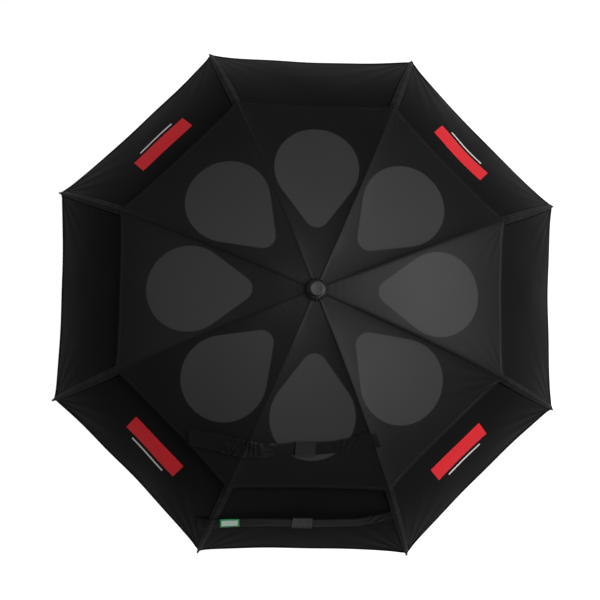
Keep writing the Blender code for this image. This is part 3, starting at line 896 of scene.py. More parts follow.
@dataclass(frozen=True)
class Relief:
    """The small shapes that sewing and tension give the cloth."""

    seam_height: float = 0.9 * MM
    seam_width: float = 2.4 * MM
    ridge_height: float = 3.2 * MM
    ridge_width: float = 13 * MM
    pucker_height: float = 0.45 * MM
    pucker_length: float = 19 * MM  # puckers are 6 mm long in life, drawn coarser so that they show
    pucker_width: float = 11 * MM
    fan_height: float = 1.5 * MM
    fan_length: float = 75 * MM
    fan_folds: float = 15.0
    billow: float = 1.4 * MM
    hem_width: float = 9 * MM
    hem_rise: float = 0.6 * MM
    stitch_depth: float = 1.0 * MM
    stitch_width: float = 0.0011
    stitch_inset: float = 0.0012
    pucker_clear: float = 0.004
    fan_clear: float = 0.014
    billows: int = 4
    full_billow: float = 0.3

    def height(self, panel: int, reach: Array, seams: tuple[Array, Array], hem_gap: Array) -> Array:
        """How far the cloth stands off its smooth surface.

        Args:
            panel: the panel's number.
            reach: distances along the ribs.
            seams: distances from the seam before and the seam after.
            hem_gap: distances in from the hem.

        Returns:
            Heights in metres.
        """
        draw = np.random.default_rng(40 + panel)
        seam = np.minimum(*seams)
        made = self.seam_height * np.exp(-((seam / self.seam_width) ** 2))
        made += self.ridge_height * np.exp(-seam / self.ridge_width) * smooth(reach, 0.03, 0.12)
        wave = np.sin(math.tau * reach / self.pucker_length + draw.uniform(0, 6))
        clear = 1 - np.exp(-seam / self.pucker_clear)
        made += self.pucker_height * wave * np.exp(-seam / self.pucker_width) * clear
        span = seams[0] + seams[1]
        belly = np.sin(math.pi * seams[0] / np.maximum(span, 1e-4))
        for distance in seams:
            far = np.hypot(distance, hem_gap)
            turn = np.arctan2(distance, np.maximum(hem_gap, 0) + 0.002)
            folds = np.cos(self.fan_folds * turn + draw.uniform(0, 6)) * draw.uniform(0.6, 1.2)
            clear = 1 - np.exp(-distance / self.fan_clear)
            made += self.fan_height * folds * np.exp(-far / self.fan_length) * clear
        for _ in range(self.billows):
            lengthwise, sidewise = draw.uniform(3, 13), draw.uniform(4, 20)
            phase = draw.uniform(0, 6, 2)
            ripple = np.sin(lengthwise * reach * 2 + phase[0])
            ripple = ripple * np.sin(sidewise * (seams[0] - seams[1]) + phase[1])
            made += self.billow / 2 * ripple * belly * np.minimum(span / self.full_billow, 1.2)
        made += self.hem_rise * (1 - smooth(hem_gap, self.hem_width - MM, self.hem_width + MM))
        stitches = (hem_gap - self.hem_width + self.stitch_inset) / self.stitch_width
        made -= self.stitch_depth * np.exp(-(stitches**2))
        return made


@dataclass(frozen=True)
class Layer:
    """One of the two canopies: a sheet over the ribs from the crown to a hem."""

    name: str
    lift: float
    rise: float
    hollow: float
    hem_reach: float
    hem_inset: float
    corner: float
    rib: RibLine = RibLine()
    relief: Relief = Relief(ridge_height=1.6 * MM, fan_height=1.1 * MM)
    full_hollow_reach: float = 0.732
    start_radius: float = 0.0090

    def lift_at(self, reach: Array) -> Array:
        """How high the sheet stands over the ribs' centre line."""
        return self.lift + self.rise * (np.maximum(reach, 0) / self.hem_reach) ** 2

    def hem_at(self, seam: Array) -> Array:
        """The hem's reach at a distance from the seam: it draws in between its corners."""
        return self.hem_reach - self.hem_inset * (1 - np.exp(-seam / self.corner))

    def raised(self, panel: int, along: Array, sideways: Array) -> Array:
        """The cloth's relief at a place in plan.

        Args:
            panel: the panel's number.
            along: distances down the middle of the panel.
            sideways: distances across it.

        Returns:
            Heights over the smooth surface.
        """
        reach = self.rib.reach_at(along / math.cos(HALF))
        before = np.maximum(along * math.sin(HALF) + sideways * math.cos(HALF), 0)
        after = np.maximum(along * math.sin(HALF) - sideways * math.cos(HALF), 0)
        hem_gap = self.hem_at(np.minimum(before, after)) - reach
        return self.relief.height(panel, reach, (before, after), hem_gap)

    def point(self, panel: int, along: Array, sideways: Array, over: Array | float = 0.0) -> Array:
        """Points on the cloth, or over it.

        Args:
            panel: the panel's number, whose middle stands at that many eighths of a turn.
            along: distances down the middle of the panel.
            sideways: distances across it.
            over: how far above the cloth the points are.

        Returns:
            An array with three coordinates for each point.
        """
        radius = along / math.cos(HALF)
        reach = self.rib.reach_at(radius)
        across = 0.5 + sideways / (2 * radius * math.sin(HALF))
        line_radius, line_height = self.rib.at(reach)
        out, up = self.rib.outward(reach)
        lift = self.lift_at(reach)
        wide = line_radius + out * lift
        dip = self.hollow * np.sin(math.pi / 2 * np.maximum(reach, 0) / self.full_hollow_reach)
        dip = dip * 4 * across * (1 - across)
        stand = self.raised(panel, along, sideways) + over
        turn = (across - 0.5) * STEP
        x = wide * math.cos(HALF) - dip * out + stand * out * np.cos(turn)
        y = (across - 0.5) * 2 * wide * math.sin(HALF) + stand * out * np.sin(turn)
        z = line_height + up * lift - dip * up + stand * up
        cosine, sine = math.cos(panel * STEP), math.sin(panel * STEP)
        return np.stack([x * cosine - y * sine, x * sine + y * cosine, z], axis=-1)


LOWER = Layer(
    "lower",
    lift=4.8 * MM,
    rise=0.0,
    hollow=9 * MM,
    hem_reach=0.732,
    hem_inset=2.5 * MM,
    corner=14 * MM,
)
UPPER = Layer(
    "upper",
    lift=7.0 * MM,
    rise=11 * MM,
    hollow=6 * MM,
    hem_reach=0.488,
    hem_inset=3 * MM,
    corner=12 * MM,
    relief=Relief(
        ridge_height=2.8 * MM,
        fan_height=0.9 * MM,
        fan_length=50 * MM,
        billow=0.9 * MM,
        pucker_height=0.35 * MM,
    ),
)


@dataclass(frozen=True)
class Fold:
    """Sets a piece of cloth beside a rib to ride on a length of that rib.
    """

    joint: str = "canopy_fold"
    inner_lean: float = math.radians(26.0)
    outer_lean: float = math.radians(27.4)
    keep: float = 0.10
    inner_anchor: float = 11 * MM
    outer_anchor: float = 25.6 * MM
    rib: RibLine = RibLine()

    def carry(self, piece: bpy.types.Object, rib: int, side: Side, length: Length) -> None:
        """Let a piece ride on a length of rib.

        Args:
            piece: the piece, in place in the frame.
            rib: the rib's number.
            side: the side of the rib that it lies on; not used.
            length: the length of rib that it rides on.
        """
        outer = length is Length.OUTER
        start, out = self.rib.chord(length)
        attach(piece, f"rib_end_{rib}" if outer else f"rib_{rib}")
        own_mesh(piece)


def panel_of(rib: int, side: Side) -> int:
    """The number of the panel on one side of a rib."""
    return rib if side is Side.AFTER else (rib - 2) % RIBS + 1


# ---- the canopies -----------------------------------------------------------------
@dataclass
class Canopy:
    """One canopy, cut into half-gores in two lengths."""

    layer: Layer
    finish: Finish
    columns: int
    row_gap: float
    vent: Vent = Vent()
    fold: Fold = Fold()
    crowding: float = 1.7
    hem_ease: float = 0.09
    hem_zone: float = 0.014
    stitch_rows: tuple[float, ...] = (2.2, 0.9, 0.2, -0.5, -1.3, -2.4, -5.0)
    vent_steps: int = 72
    snap_share: float = 0.62
    snap_rounds: int = 3
    cut_inside: float = 0.3 * MM
    made: dict = field(default_factory=dict)

    @property
    def opened(self) -> bool:
        """Whether the vents are cut through this canopy."""
        return self.layer.name == "lower"

    def reaches(self, length: Length) -> Array:
        """Reaches of a half-gore's rows, which crowd at the hem for its fold and stitches.

        Args:
            length: the length of rib that it goes with.

        Returns:
            The reaches, from the crown outwards.
        """
        rib = self.layer.rib
        if length is Length.INNER:
            start = float(rib.reach_at(self.layer.start_radius))
            return np.linspace(start, rib.knuckle_reach, round(rib.knuckle_reach / self.row_gap))
        hem, band = self.layer.hem_reach, self.layer.relief.hem_width
        rows = round((hem - rib.knuckle_reach) / self.row_gap)
        body = np.linspace(rib.knuckle_reach, hem - self.hem_zone, rows)
        edge = hem - band - np.array(self.stitch_rows) * MM
        return np.concatenate([body, edge, [hem - 0.8 * MM, hem]])

    def plan(self, side: Side, length: Length) -> tuple[Array, Array]:
        """Plan places of a half-gore's grid, in its panel's frame.

        Args:
            side: the side of the rib that it lies on.
            length: the length of rib that it goes with.

        Returns:
            Places along and sideways, one row of the grid after another.
        """
        rib = self.layer.rib
        reach = self.reaches(length)[:, None]
        share = np.linspace(0, 1, self.columns)[None, :] ** self.crowding
        seam = rib.at(reach)[0] * math.sin(HALF) * share
        near_hem = smooth(reach, self.layer.hem_reach - self.hem_ease, self.layer.hem_reach)
        reach = reach - (self.layer.hem_reach - self.layer.hem_at(seam)) * near_hem
        along = rib.at(reach)[0] * math.cos(HALF)
        sideways = -side.value * along * math.tan(HALF) * (1 - share)
        return along, sideways

    def half_gore(self, rib: int, side: Side, length: Length) -> bpy.types.Object:
        """Make one half-gore.

        Args:
            rib: the rib's number.
            side: the side of the rib that it lies on.
            length: the length of rib that it goes with.

        Returns:
            The piece of cloth.
        """
        panel = panel_of(rib, side)
        along, sideways = self.plan(side, length)
        if self.opened:
            along, sideways = self.snap_to_vent(along, sideways)
        points = self.layer.point(panel, along, sideways)
        if length is Length.OUTER:
            along, sideways, points = self.turn_hem_under(along, sideways, points)
        gap = self.vent.gap(along, sideways)
        faces = grid_faces(*along.shape, flip=not facing_up(points))
        if self.opened:
            flat = gap.ravel()
            faces = [f for f in faces if sum(flat[n] for n in f) / 4 > -self.cut_inside]
        uvs = np.stack([along, sideways], axis=-1)
        name = f"{self.layer.name}_cloth_{length.value}_{rib}_{side.name.lower()}"
        piece = mesh_object(name, points, faces, uvs)
        if self.opened:
            self.drop_loose(piece)
        else:
            # The distance to the vent places the painted light over the vent in the upper cloth's
            # material.
            held = piece.data.attributes.new("vent_gap", "FLOAT", "POINT")
            held.data.foreach_set("value", gap.astype(np.float32).ravel())
        self.finish.put_on(piece)
        return piece

    def snap_to_vent(self, along: Array, sideways: Array) -> tuple[Array, Array]:
        """Move the grid's points that are nearest the vent's outline onto it.

        Args:
            along: the grid's places down the middle of the panel.
            sideways: its places across.

        Returns:
            The places after the move.
        """
        for _ in range(self.snap_rounds):
            gap = self.vent.gap(along, sideways)
            slope_along = (self.vent.gap(along + NUDGE, sideways) - gap) / NUDGE
            slope_side = (self.vent.gap(along, sideways + NUDGE) - gap) / NUDGE
            slope_side = np.where(np.abs(sideways) < NUDGE / 10, 0.0, slope_side)
            near = np.abs(gap) < self.row_gap * self.snap_share
            along = np.where(near, along - gap * slope_along, along)
            sideways = np.where(near, sideways - gap * slope_side, sideways)
        return along, sideways

    @staticmethod
    def turn_hem_under(
        along: Array, sideways: Array, points: Array
    ) -> tuple[Array, Array, Array]:
        """Add the rows that fold the hem back under itself.

        Args:
            along: the grid's places down the middle of the panel.
            sideways: its places across.
            points: its points.

        Returns:
            All three with the rows added.
        """
        edge = points[-1]
        inward = points[-4] - points[-1]
        inward = inward / np.linalg.norm(inward, axis=-1, keepdims=True)
        down = np.array([0, 0, -0.9 * MM])
        rolled = [
            edge + inward * 0.1 * MM + down * 0.6,
            edge + inward * 2 * MM + down,
            edge + inward * 7 * MM + down,
        ]
        points = np.concatenate([points, np.array(rolled)])
        past = np.array([[0.001], [0.003], [0.008]])
        along = np.concatenate([along, np.repeat(along[-1:], 3, axis=0) + past])
        sideways = np.concatenate([sideways, np.repeat(sideways[-1:], 3, axis=0)])
        return along, sideways, points

    @staticmethod
    def drop_loose(piece: bpy.types.Object) -> None:
        """Remove points that no face uses.

        Args:
            piece: the piece of cloth.
        """
        mesh = piece.data
        used = np.zeros(len(mesh.loops), np.int32)
        mesh.loops.foreach_get("vertex_index", used)
        loose = sorted(set(range(len(mesh.vertices))) - set(used.tolist()))
        if loose:
            cut = bmesh.new()
            cut.from_mesh(mesh)
            cut.verts.ensure_lookup_table()
            bmesh.ops.delete(cut, geom=[cut.verts[n] for n in loose], context="VERTS")
            cut.to_mesh(mesh)
            cut.free()

    def binding(self, rib: int, side: Side, length: Length) -> bpy.types.Object:
        """Make the folded tape that binds a vent's cut edge, on one half-gore.

        Args:
            rib: the rib's number.
            side: the side of the rib.
            length: the length of rib that it goes with.

        Returns:
            The binding.
        """
        panel = panel_of(rib, side)
        along, sideways = self.vent.outline(self.vent_steps)
        split = float(self.layer.rib.at(self.layer.rib.knuckle_reach)[0]) * math.cos(HALF)
        order = along.argsort()
        at_split = (split, float(np.interp(split, along[order], sideways[order])))
        inner = along < split
        if length is Length.INNER:
            along = np.append(along[inner], at_split[0])
            sideways = np.append(sideways[inner], at_split[1])
        else:
            along = np.append(at_split[0], along[~inner])
            sideways = np.append(at_split[1], sideways[~inner])
        gap = self.vent.gap(along, sideways)
        out_along = (self.vent.gap(along + NUDGE, sideways) - gap) / NUDGE
        out_side = (self.vent.gap(along, sideways + NUDGE) - gap) / NUDGE
        out_side = np.where(sideways < NUDGE / 10, 0, out_side)
        rise, width = self.vent.binding_rise, self.vent.binding
        section = [
            (width, 0.2),
            (width, 0.8),
            (width / 2, 1),
            (0.0006, 0.9),
            (-0.0012, 0),
            (0.0006, -0.9),
            (width / 2, -1),
            (width, -0.8),
            (width, -0.2),
        ]
        rings = []
        for offset, high in section:
            place_along = along + out_along * offset
            place_side = np.maximum(sideways + out_side * offset, 0) * -side.value
            rings.append(self.layer.point(panel, place_along, place_side, high * rise))
        points = np.stack(rings, axis=1)
        uvs = np.stack(np.meshgrid(np.linspace(0, 0.02, len(section)), along), axis=-1)
        name = f"vent_binding_{length.value}_{rib}_{side.name.lower()}"
        faces = grid_faces(*points.shape[:2], flip=side is Side.AFTER)
        piece = mesh_object(name, points, faces, uvs)
        STRAP_CLOTH.put_on(piece)
        return piece

    def cut_size(self, length: Length) -> tuple[tuple[float, float], float]:
        """The flat size of a half-gore: its bounding width and length, and its area.

        Args:
            length: the length of rib that it goes with.

        Returns:
            The width and length, and the area with any vent taken out.
        """
        radius, height = self.layer.rib.at(self.reaches(length))
        run = np.hypot(np.diff(radius), np.diff(height))
        side = radius * math.sin(HALF)
        if self.opened:
            share = np.linspace(0, 1, 200)[None, :]
            gap = self.vent.gap(radius[:, None] * math.cos(HALF), side[:, None] * share)
            side = side * (gap > 0).mean(axis=1)
        area = float((run * (side[1:] + side[:-1]) / 2).sum())
        return (float(side.max()), float(run.sum())), area

    def build(self) -> None:
        """Make every half-gore, with its vent bindings, and set each to ride on its rib."""
        sizes = {length: self.cut_size(length) for length in Length}
        for rib in range(1, RIBS + 1):
            for side in Side:
                for length in Length:
                    piece = self.half_gore(rib, side, length)
                    extras = [self.binding(rib, side, length)] if self.opened else []
                    node = f"lower_panel_{panel_of(rib, side)}" if self.opened else "upper_canopy"
                    for part in (piece, *extras):
                        self.fold.carry(part, rib, side, length)
                        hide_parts(node)
                    self.made[(rib, side, length)] = (piece, extras, sizes[length])
            LOG.info("%s canopy beside rib %d", self.layer.name, rib)


# ---- what is sewn and printed on the lower canopy ------------------------------------
@dataclass
class RibTapes:
    """Tapes over the ribs, from under the upper canopy's corners to the tips."""

    layer: Layer = LOWER
    fold: Fold = Fold()
    start: float = 0.478
    end: float = 0.727
    width: float = 21 * MM
    tip_width: float = 12 * MM
    low: float = 2.2 * MM
    high: float = 9.0 * MM
    seam: float = 2.2 * MM
    narrowing_from: float = 0.60
    settle: float = 0.13
    ripple: float = 0.5 * MM
    over: float = 0.45 * MM
    rows: int = 46
    section: tuple[tuple[float, float, float], ...] = (
        (0, 0, 1),
        (0.35, 0, 1),
        (0.7, 0, 1),
        (0.9, 0, 0.97),
        (1, 0, 0.85),
        (1, 0.1, 0),
        (1, 1, 0),
    )

    def half(self, rib: int, side: Side) -> bpy.types.Object:
        """Make the half of a tape on one side of its rib.

        Args:
            rib: the rib's number.
            side: the side of the rib.

        Returns:
            The half tape, with turned edges painted near-black as shadow.
        """
        panel = panel_of(rib, side)
        reach = np.linspace(self.start, self.end, self.rows)
        reach = np.concatenate([[self.start - self.seam, self.start - 0.3 * MM], reach])[:, None]
        raised = np.ones(len(reach))[:, None]
        raised[:2] = 0
        taper = smooth(reach, self.narrowing_from, self.end)
        width = self.width + (self.tip_width - self.width) * taper
        settled = smooth(reach, self.start, self.start + self.settle)
        stand = self.low + (self.high - self.low) * (1 - settled)
        share, beyond, level = (np.array(values)[None, :] for values in zip(*self.section))
        seam = width / 2 * share + beyond * self.seam
        reach = np.broadcast_to(reach, seam.shape)
        along = self.layer.rib.at(reach)[0] * math.cos(HALF)
        sideways = -side.value * (along * math.tan(HALF) - seam / math.cos(HALF))
        ripple = self.ripple * np.sin(reach * 160 + rib) * (stand / self.high)
        over = (stand + ripple) * level * raised + self.over
        points = self.layer.point(panel, along, sideways, over)
        uvs = np.stack([reach, seam], axis=-1)
        name = f"rib_tape_{rib}_{side.name.lower()}"
        faces = grid_faces(*along.shape, flip=not facing_up(points[:, :4]))
        piece = mesh_object(name, points, faces, uvs)
        TAPE_PONGEE.put_on(piece)
        # The inner end and the faces that turn down to the cloth take the near-black painted
        # shadow.
        piece.data.materials.append(PAINTED_TAPE_EDGE_SHADOW.material())
        columns = len(self.section) - 1
        for n, face in enumerate(piece.data.polygons):
            row, column = divmod(n, columns)
            face.material_index = int(row < 2 or column >= columns - 2)
        self.fold.carry(piece, rib, side, Length.OUTER)
        return piece

    def build(self) -> dict:
        """Make both halves of each tape.

        Returns:
            The halves by rib, side and length.
        """
        made = {}
        for rib in range(1, RIBS + 1):
            for side in Side:
                made[(rib, side, Length.OUTER)] = [self.half(rib, side)]
        LOG.info("rib tapes")
        return made


@dataclass
class PrintedBars:
    """A plain red bar with a white line, printed on every other panel near the hem."""

    layer: Layer = LOWER
    fold: Fold = Fold()
    panels: tuple[int, ...] = (1, 3, 5, 7)
    middle: float = 0.519
    width: float = 36 * MM
    length: float = 0.162
    line_gap: float = 9 * MM
    line_width: float = 4 * MM
    line_length: float = 0.105
    film: float = 0.35 * MM
    row_gap: float = 0.004
    column_gap: float = 0.008

    def half(
        self, panel: int, side: Side, name: str, box: tuple[float, float, float], ink: Finish
    ) -> bpy.types.Object:
        """Make the half of a printed shape on one side of the panel's middle.

        Args:
            panel: the panel's number.
            side: the side of the rib that this half lies on.
            name: the shape's name.
            box: the shape's middle along the panel, its width and its length across.
            ink: its ink.

        Returns:
            The half shape, a film over the cloth.
        """
        middle, width, length = box
        rows, columns = max(3, round(width / self.row_gap)), round(length / self.column_gap)
        along = np.linspace(middle - width / 2, middle + width / 2, rows)[:, None]
        sideways = np.linspace(0, length / 2, columns)[None, :] * -side.value
        along, sideways = np.broadcast_arrays(along, sideways)
        points = self.layer.point(panel, along, sideways, self.film)
        uvs = np.stack([along, sideways], axis=-1)
        rib = panel if side is Side.AFTER else panel % RIBS + 1
        full = f"{name}_{panel}_{side.name.lower()}"
        piece = mesh_object(full, points, grid_faces(*along.shape, flip=not facing_up(points)), uvs)
        ink.put_on(piece)
        self.fold.carry(piece, rib, side, Length.OUTER)
        return piece

    def build(self) -> dict:
        """Print every bar and its line.

        Returns:
            The halves by rib, side and length.
        """
        made: dict = {}
        line_middle = self.middle + self.width / 2 + self.line_gap
        bar_box = (self.middle, self.width, self.length)
        line_box = (line_middle, self.line_width, self.line_length)
        for panel in self.panels:
            for side in Side:
                rib = panel if side is Side.AFTER else panel % RIBS + 1
                bar = self.half(panel, side, "printed_bar", bar_box, RED_INK)
                line = self.half(panel, side, "printed_line", line_box, WHITE_INK)
                made[(rib, side, Length.OUTER)] = [bar, line]
        LOG.info("printed bars")
        return made


# ---- tie straps ----------------------------------------------------------------------
@dataclass
class TieStrap:
    """A tie strap that lies from its seam on rib 7 over the next panel and past rib 6.

    Its course is a few stations from right to left: place from left to right, place of its
    middle up the page, width, height off the cloth, tilt of its upper edge and how
    crumpled it is.
    """

    name: str
    layer: Layer
    node: str
    stations: tuple[tuple[float, float, float, float, float, float], ...]
    keeper: tuple[float, float]
    patch: tuple[float, float]
    base: float
    finish: Finish = STRAP_CLOTH
    thickness: float = 1.5 * MM
    pitch: float = 17 * MM
    slant: float = 0.9
    fullness: float = 1.25
    fold: Fold = Fold()
    rows_per_metre: float = 330.0
    columns: int = 15
    samples: int = 400
    easing: int = 15
    patch_rise: float = 0.8 * MM
    stitch_rise: float = 0.5 * MM
    stitch_inset: float = 0.004
    stitch_width: float = 0.0012
    clearance: float = 0.35 * MM
    girth: float = 0.09
    keeper_step: float = 0.0007
    keeper_columns: int = 12
    keeper_cord: float = 3.4 * MM
    keeper_spread: float = 1.12

    def course(self, x: Array) -> tuple[Array, ...]:
        """The strap's course, eased between its stations.

        Args:
            x: places from left to right.

        Returns:
            Its middle, width, height, tilt and crumple at those places.
        """
        table = np.array(sorted(self.stations))
        fine = np.linspace(table[0, 0], table[-1, 0], self.samples)
        window = np.hanning(2 * self.easing + 1)
        blur = window / window.sum()
        values = []
        for column in table[:, 1:].T:
            raw = np.interp(fine, table[:, 0], column)
            padded = np.pad(raw, self.easing, mode="edge")
            values.append(np.interp(x, fine, np.convolve(padded, blur, "valid")))
        return tuple(values)

    def surface(self, x: Array, across: Array) -> tuple[Array, Array]:
        """Plan place and height of the strap's upper face.

        Args:
            x: places from left to right.
            across: shares from -1 at the rim side to 1 at the crown side.

        Returns:
            Places up and down the page, and heights over the cloth.
        """
        middle, width, height, tilt, crumple = self.course(x)
        y = middle + across * width / 2
        slant = self.slant * np.cos(17 * x + 0.6)
        phase = (x + slant * across * width / 2) / self.pitch
        phase = phase + 0.8 * np.sin(41 * x + 1) + 0.4 * np.sin(97 * x)
        ridges = (1 - np.abs(np.sin(math.pi * phase))) ** 1.6
        swell = 0.35 + 0.65 * np.abs(np.sin(23 * x + 0.9 * across + 0.7))
        small = 0.5 + 0.5 * np.sin(math.tau * phase * 1.3 + 2.6 * across + 1.3)
        stand = self.base + height + tilt * (across + 1) / 2
        stand = stand + crumple * swell * (ridges * 0.85 + small * 0.3) * (1 - 0.3 * across**2)
        left, right = self.patch
        inside = smooth(x, left, left + 2 * MM) * (1 - smooth(x, right - 2 * MM, right))
        stand = stand + inside * self.patch_rise
        for edge in self.patch:
            for offset in (-self.stitch_inset, self.stitch_inset):
                stitches = (x - edge - offset) / self.stitch_width
                stand = stand + self.stitch_rise * np.exp(-(stitches**2))
        return y, stand

    @staticmethod
    def panel_plan(panel: int, x: Array, y: Array) -> tuple[Array, Array]:
        """A place in the frame as along and sideways in a panel."""
        turn = panel * STEP
        return x * math.cos(turn) + y * math.sin(turn), -x * math.sin(turn) + y * math.cos(turn)

    @staticmethod
    def loop(columns: int) -> tuple[Array, Array]:
        """Shares across a strap for its upper face and back, and which are underneath.

        Args:
            columns: how many points each face has across.

        Returns:
            The shares, and ones for the lower face.
        """
        across = np.linspace(-1, 1, columns)
        below = np.repeat([0.0, 1.0], columns)
        return np.concatenate([across, across[::-1]])[None, :], below[None, :]

    def stretch(
        self, label: str, panel: int, ends: tuple[float, float], shears: tuple[float, float]
    ) -> Array:
        """Points of a stretch of strap between two cuts.

        Args:
            label: what to call the stretch in the log.
            panel: the panel that it lies on.
            ends: the cuts' places at the strap's middle, left then right.
            shears: how the cuts slant, as x over y.

        Returns:
            Rings of points round the strap, with its upper and lower faces.
        """
        count = max(4, round((ends[1] - ends[0]) * self.rows_per_metre))
        share = np.linspace(0, 1, count)[:, None]
        middle_x = ends[0] + (ends[1] - ends[0]) * share
        across, lower = self.loop(self.columns)
        width = self.course(middle_x)[1]
        slant = shears[0] + (shears[1] - shears[0]) * share
        x = middle_x + slant * across * width / 2
        y, stand = self.surface(x, across)
        edge = 1 - 0.55 * (np.abs(across) > 0.99)
        stand = stand - lower * self.thickness * edge
        stand = stand - (1 - lower) * self.thickness * (1 - edge)
        along, sideways = self.panel_plan(panel, x, y)
        LOG.info("%s %s", self.name, label)
        return self.layer.point(panel, along, sideways, np.maximum(stand, self.clearance))

    def build(self) -> None:
        """Make the strap in three stretches that each ride on the same rib as the cloth beneath."""
        slope = math.tan(HALF)
        right, left = max(s[0] for s in self.stations), min(s[0] for s in self.stations)
        over_rib = self.rib_crossing()
        plan = (
            ("seam", 6, (0.0, right), (0.0, -slope), 7, Side.BEFORE),
            ("middle", 6, (over_rib, 0.0), (slope, 0.0), 6, Side.AFTER),
            ("end", 5, (left, over_rib), (0.0, slope), 6, Side.BEFORE),
        )
        for label, panel, ends, shears, rib, side in plan:
            rings = self.stretch(label, panel, ends, shears)
            piece = self.closed_strip(f"{self.name}_{label}", rings, ends)
            self.finish.put_on(piece)
            self.fold.carry(piece, rib, side, Length.OUTER)
            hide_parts(self.node)
        self.build_keeper()

    def rib_crossing(self) -> float:
        """Where the strap's middle crosses rib 6.

        Returns:
            The place from left to right.
        """
        x = np.linspace(min(s[0] for s in self.stations), 0, 500)
        y = self.course(x)[0]
        return float(x[np.argmin(np.abs(x - y * math.tan(HALF)))])

    def closed_strip(
        self, name: str, rings: Array, ends: tuple[float, float]
    ) -> bpy.types.Object:
        """A closed strip from rings of points, with its ends capped.

        Args:
            name: the piece's name.
            rings: rings of points from left to right.
            ends: the strip's ends, which its cloth coordinates run between.

        Returns:
            The strip.
        """
        rows, columns = rings.shape[:2]
        faces = grid_faces(rows, columns, flip=True, closed=True)
        last = (rows - 1) * columns
        faces += [tuple(range(columns)), tuple(range(last, last + columns))[::-1]]
        lengthwise, girth = np.meshgrid(
            np.linspace(*ends, rows), np.linspace(0, self.girth, columns), indexing="ij"
        )
        piece = mesh_object(name, rings, faces, np.stack([lengthwise, girth], axis=-1))
        piece.data.set_sharp_from_angle(angle=SHARP_STRAP)
        return piece

    def build_keeper(self) -> None:
        """Make the ribbed keeper that grips the strap, in a half on either side of the panel's
        middle.
        """
        left, right = self.keeper
        halves = (
            ("left", (left, 0.0), 6, Side.AFTER),
            ("right", (0.0, right), 7, Side.BEFORE),
        )
        for label, ends, rib, side in halves:
            count = max(6, round((ends[1] - ends[0]) / self.keeper_step))
            across, lower = self.loop(self.keeper_columns)
            x = np.linspace(*ends, count)[:, None]
            x, across = np.broadcast_arrays(x, across)
            y, stand = self.surface(x, across)
            middle = self.course(x)[0]
            y = middle + (y - middle) * self.keeper_spread
            cords = 0.9 * MM * np.abs(np.sin(math.pi * x / self.keeper_cord))
            at_end = (x < left + 1.5 * MM) | (x > right - 1.5 * MM)
            rim = 0.8 * MM * (np.abs(across) > 0.9) + 0.9 * MM * at_end
            top = stand + 1.2 * MM + cords + rim
            under = np.maximum(stand - self.thickness - 0.8 * MM, 0.2 * MM)
            height = np.where(lower > 0, under, top)
            along, sideways = self.panel_plan(6, x, y)
            rings = self.layer.point(6, along, sideways, height)
            piece = self.closed_strip(f"{self.name}_keeper_{label}", rings, ends)
            KEEPER_WEB.put_on(piece)
            self.fold.carry(piece, rib, side, Length.OUTER)
            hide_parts(self.node)


@dataclass
class StrapLabel:
    """Small woven label sewn along the short strap, green with a plain white middle."""

    strap: TieStrap
    left: float = -0.2037
    length: float = 0.046
    width: float = 22 * MM
    border: float = 3.4 * MM
    over: float = 0.7 * MM
    bulge: float = 0.3 * MM
    thickness: float = 0.5 * MM
    columns: int = 40
    rows: int = 20

    def build(self) -> None:
        """Make the label and set it to ride with the strap."""
        x = np.linspace(self.left, self.left + self.length, self.columns)[:, None]
        share = np.linspace(-1, 1, self.rows)[None, :]
        x, share = np.broadcast_arrays(x, share)
        middle, width, *_ = self.strap.course(x)
        across = share * self.width / width
        stand = self.strap.surface(x, np.clip(across, -1, 1))[1]
        y = middle + share * self.width / 2
        along, sideways = self.strap.panel_plan(6, x, y)
        bulge = self.bulge * (1 - share**2)
        points = self.strap.layer.point(6, along, sideways, stand + self.over + bulge)
        uvs = np.stack([x, y], axis=-1)
        faces = grid_faces(self.columns, self.rows, flip=not facing_up(points))
        piece = mesh_object("strap_label_cloth", points, faces, uvs)
        GREEN_WEAVE.put_on(piece)
        piece.data.materials.append(WHITE_WEAVE.material())
        inner_x = (x - self.left > self.border) & (x - self.left < self.length - self.border)
        inner = inner_x & (np.abs(share) * self.width / 2 < self.width / 2 - self.border)
        for n, face in enumerate(piece.data.polygons):
            row, column = divmod(n, self.rows - 1)
            face.material_index = int(inner[row, column] and inner[row + 1, column + 1])
        shell = piece.modifiers.new("thickness", "SOLIDIFY")
        shell.thickness = self.thickness
        shell.offset = -1
        apply_modifiers(piece)
        self.strap.fold.carry(piece, 6, Side.AFTER, Length.OUTER)
        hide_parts("strap_label")
        LOG.info("strap label")


LONG_STRAP = TieStrap(
    "long_strap",
    layer=UPPER,
    node="tie_strap_long",
    stations=(
        (0.150, -0.331, 0.034, 0.8 * MM, 1.0 * MM, 0.5 * MM),
        (0.120, -0.334, 0.032, 1.5 * MM, 3.0 * MM, 5.0 * MM),
        (0.085, -0.345, 0.030, 1.5 * MM, 2.0 * MM, 5.5 * MM),
        (0.050, -0.352, 0.028, 1.0 * MM, 1.5 * MM, 1.5 * MM),
        (0.012, -0.356, 0.029, 1.0 * MM, 0.5 * MM, 0.3 * MM),
        (-0.035, -0.357, 0.029, 1.0 * MM, 0.5 * MM, 0.3 * MM),
        (-0.080, -0.359, 0.026, 1.0 * MM, 2.0 * MM, 1.2 * MM),
        (-0.110, -0.362, 0.034, 1.5 * MM, 2.5 * MM, 6.0 * MM),
        (-0.150, -0.356, 0.042, 2.0 * MM, 3.0 * MM, 9.5 * MM),
        (-0.195, -0.349, 0.040, 2.0 * MM, 3.0 * MM, 7.0 * MM),
        (-0.215, -0.344, 0.038, 2.0 * MM, 2.5 * MM, 0.8 * MM),
        (-0.278, -0.333, 0.038, 2.5 * MM, 2.5 * MM, 1.2 * MM),
    ),
    keeper=(-0.036, 0.011),
    patch=(-0.276, -0.220),
    base=3.6 * MM,
    pitch=13 * MM,
)
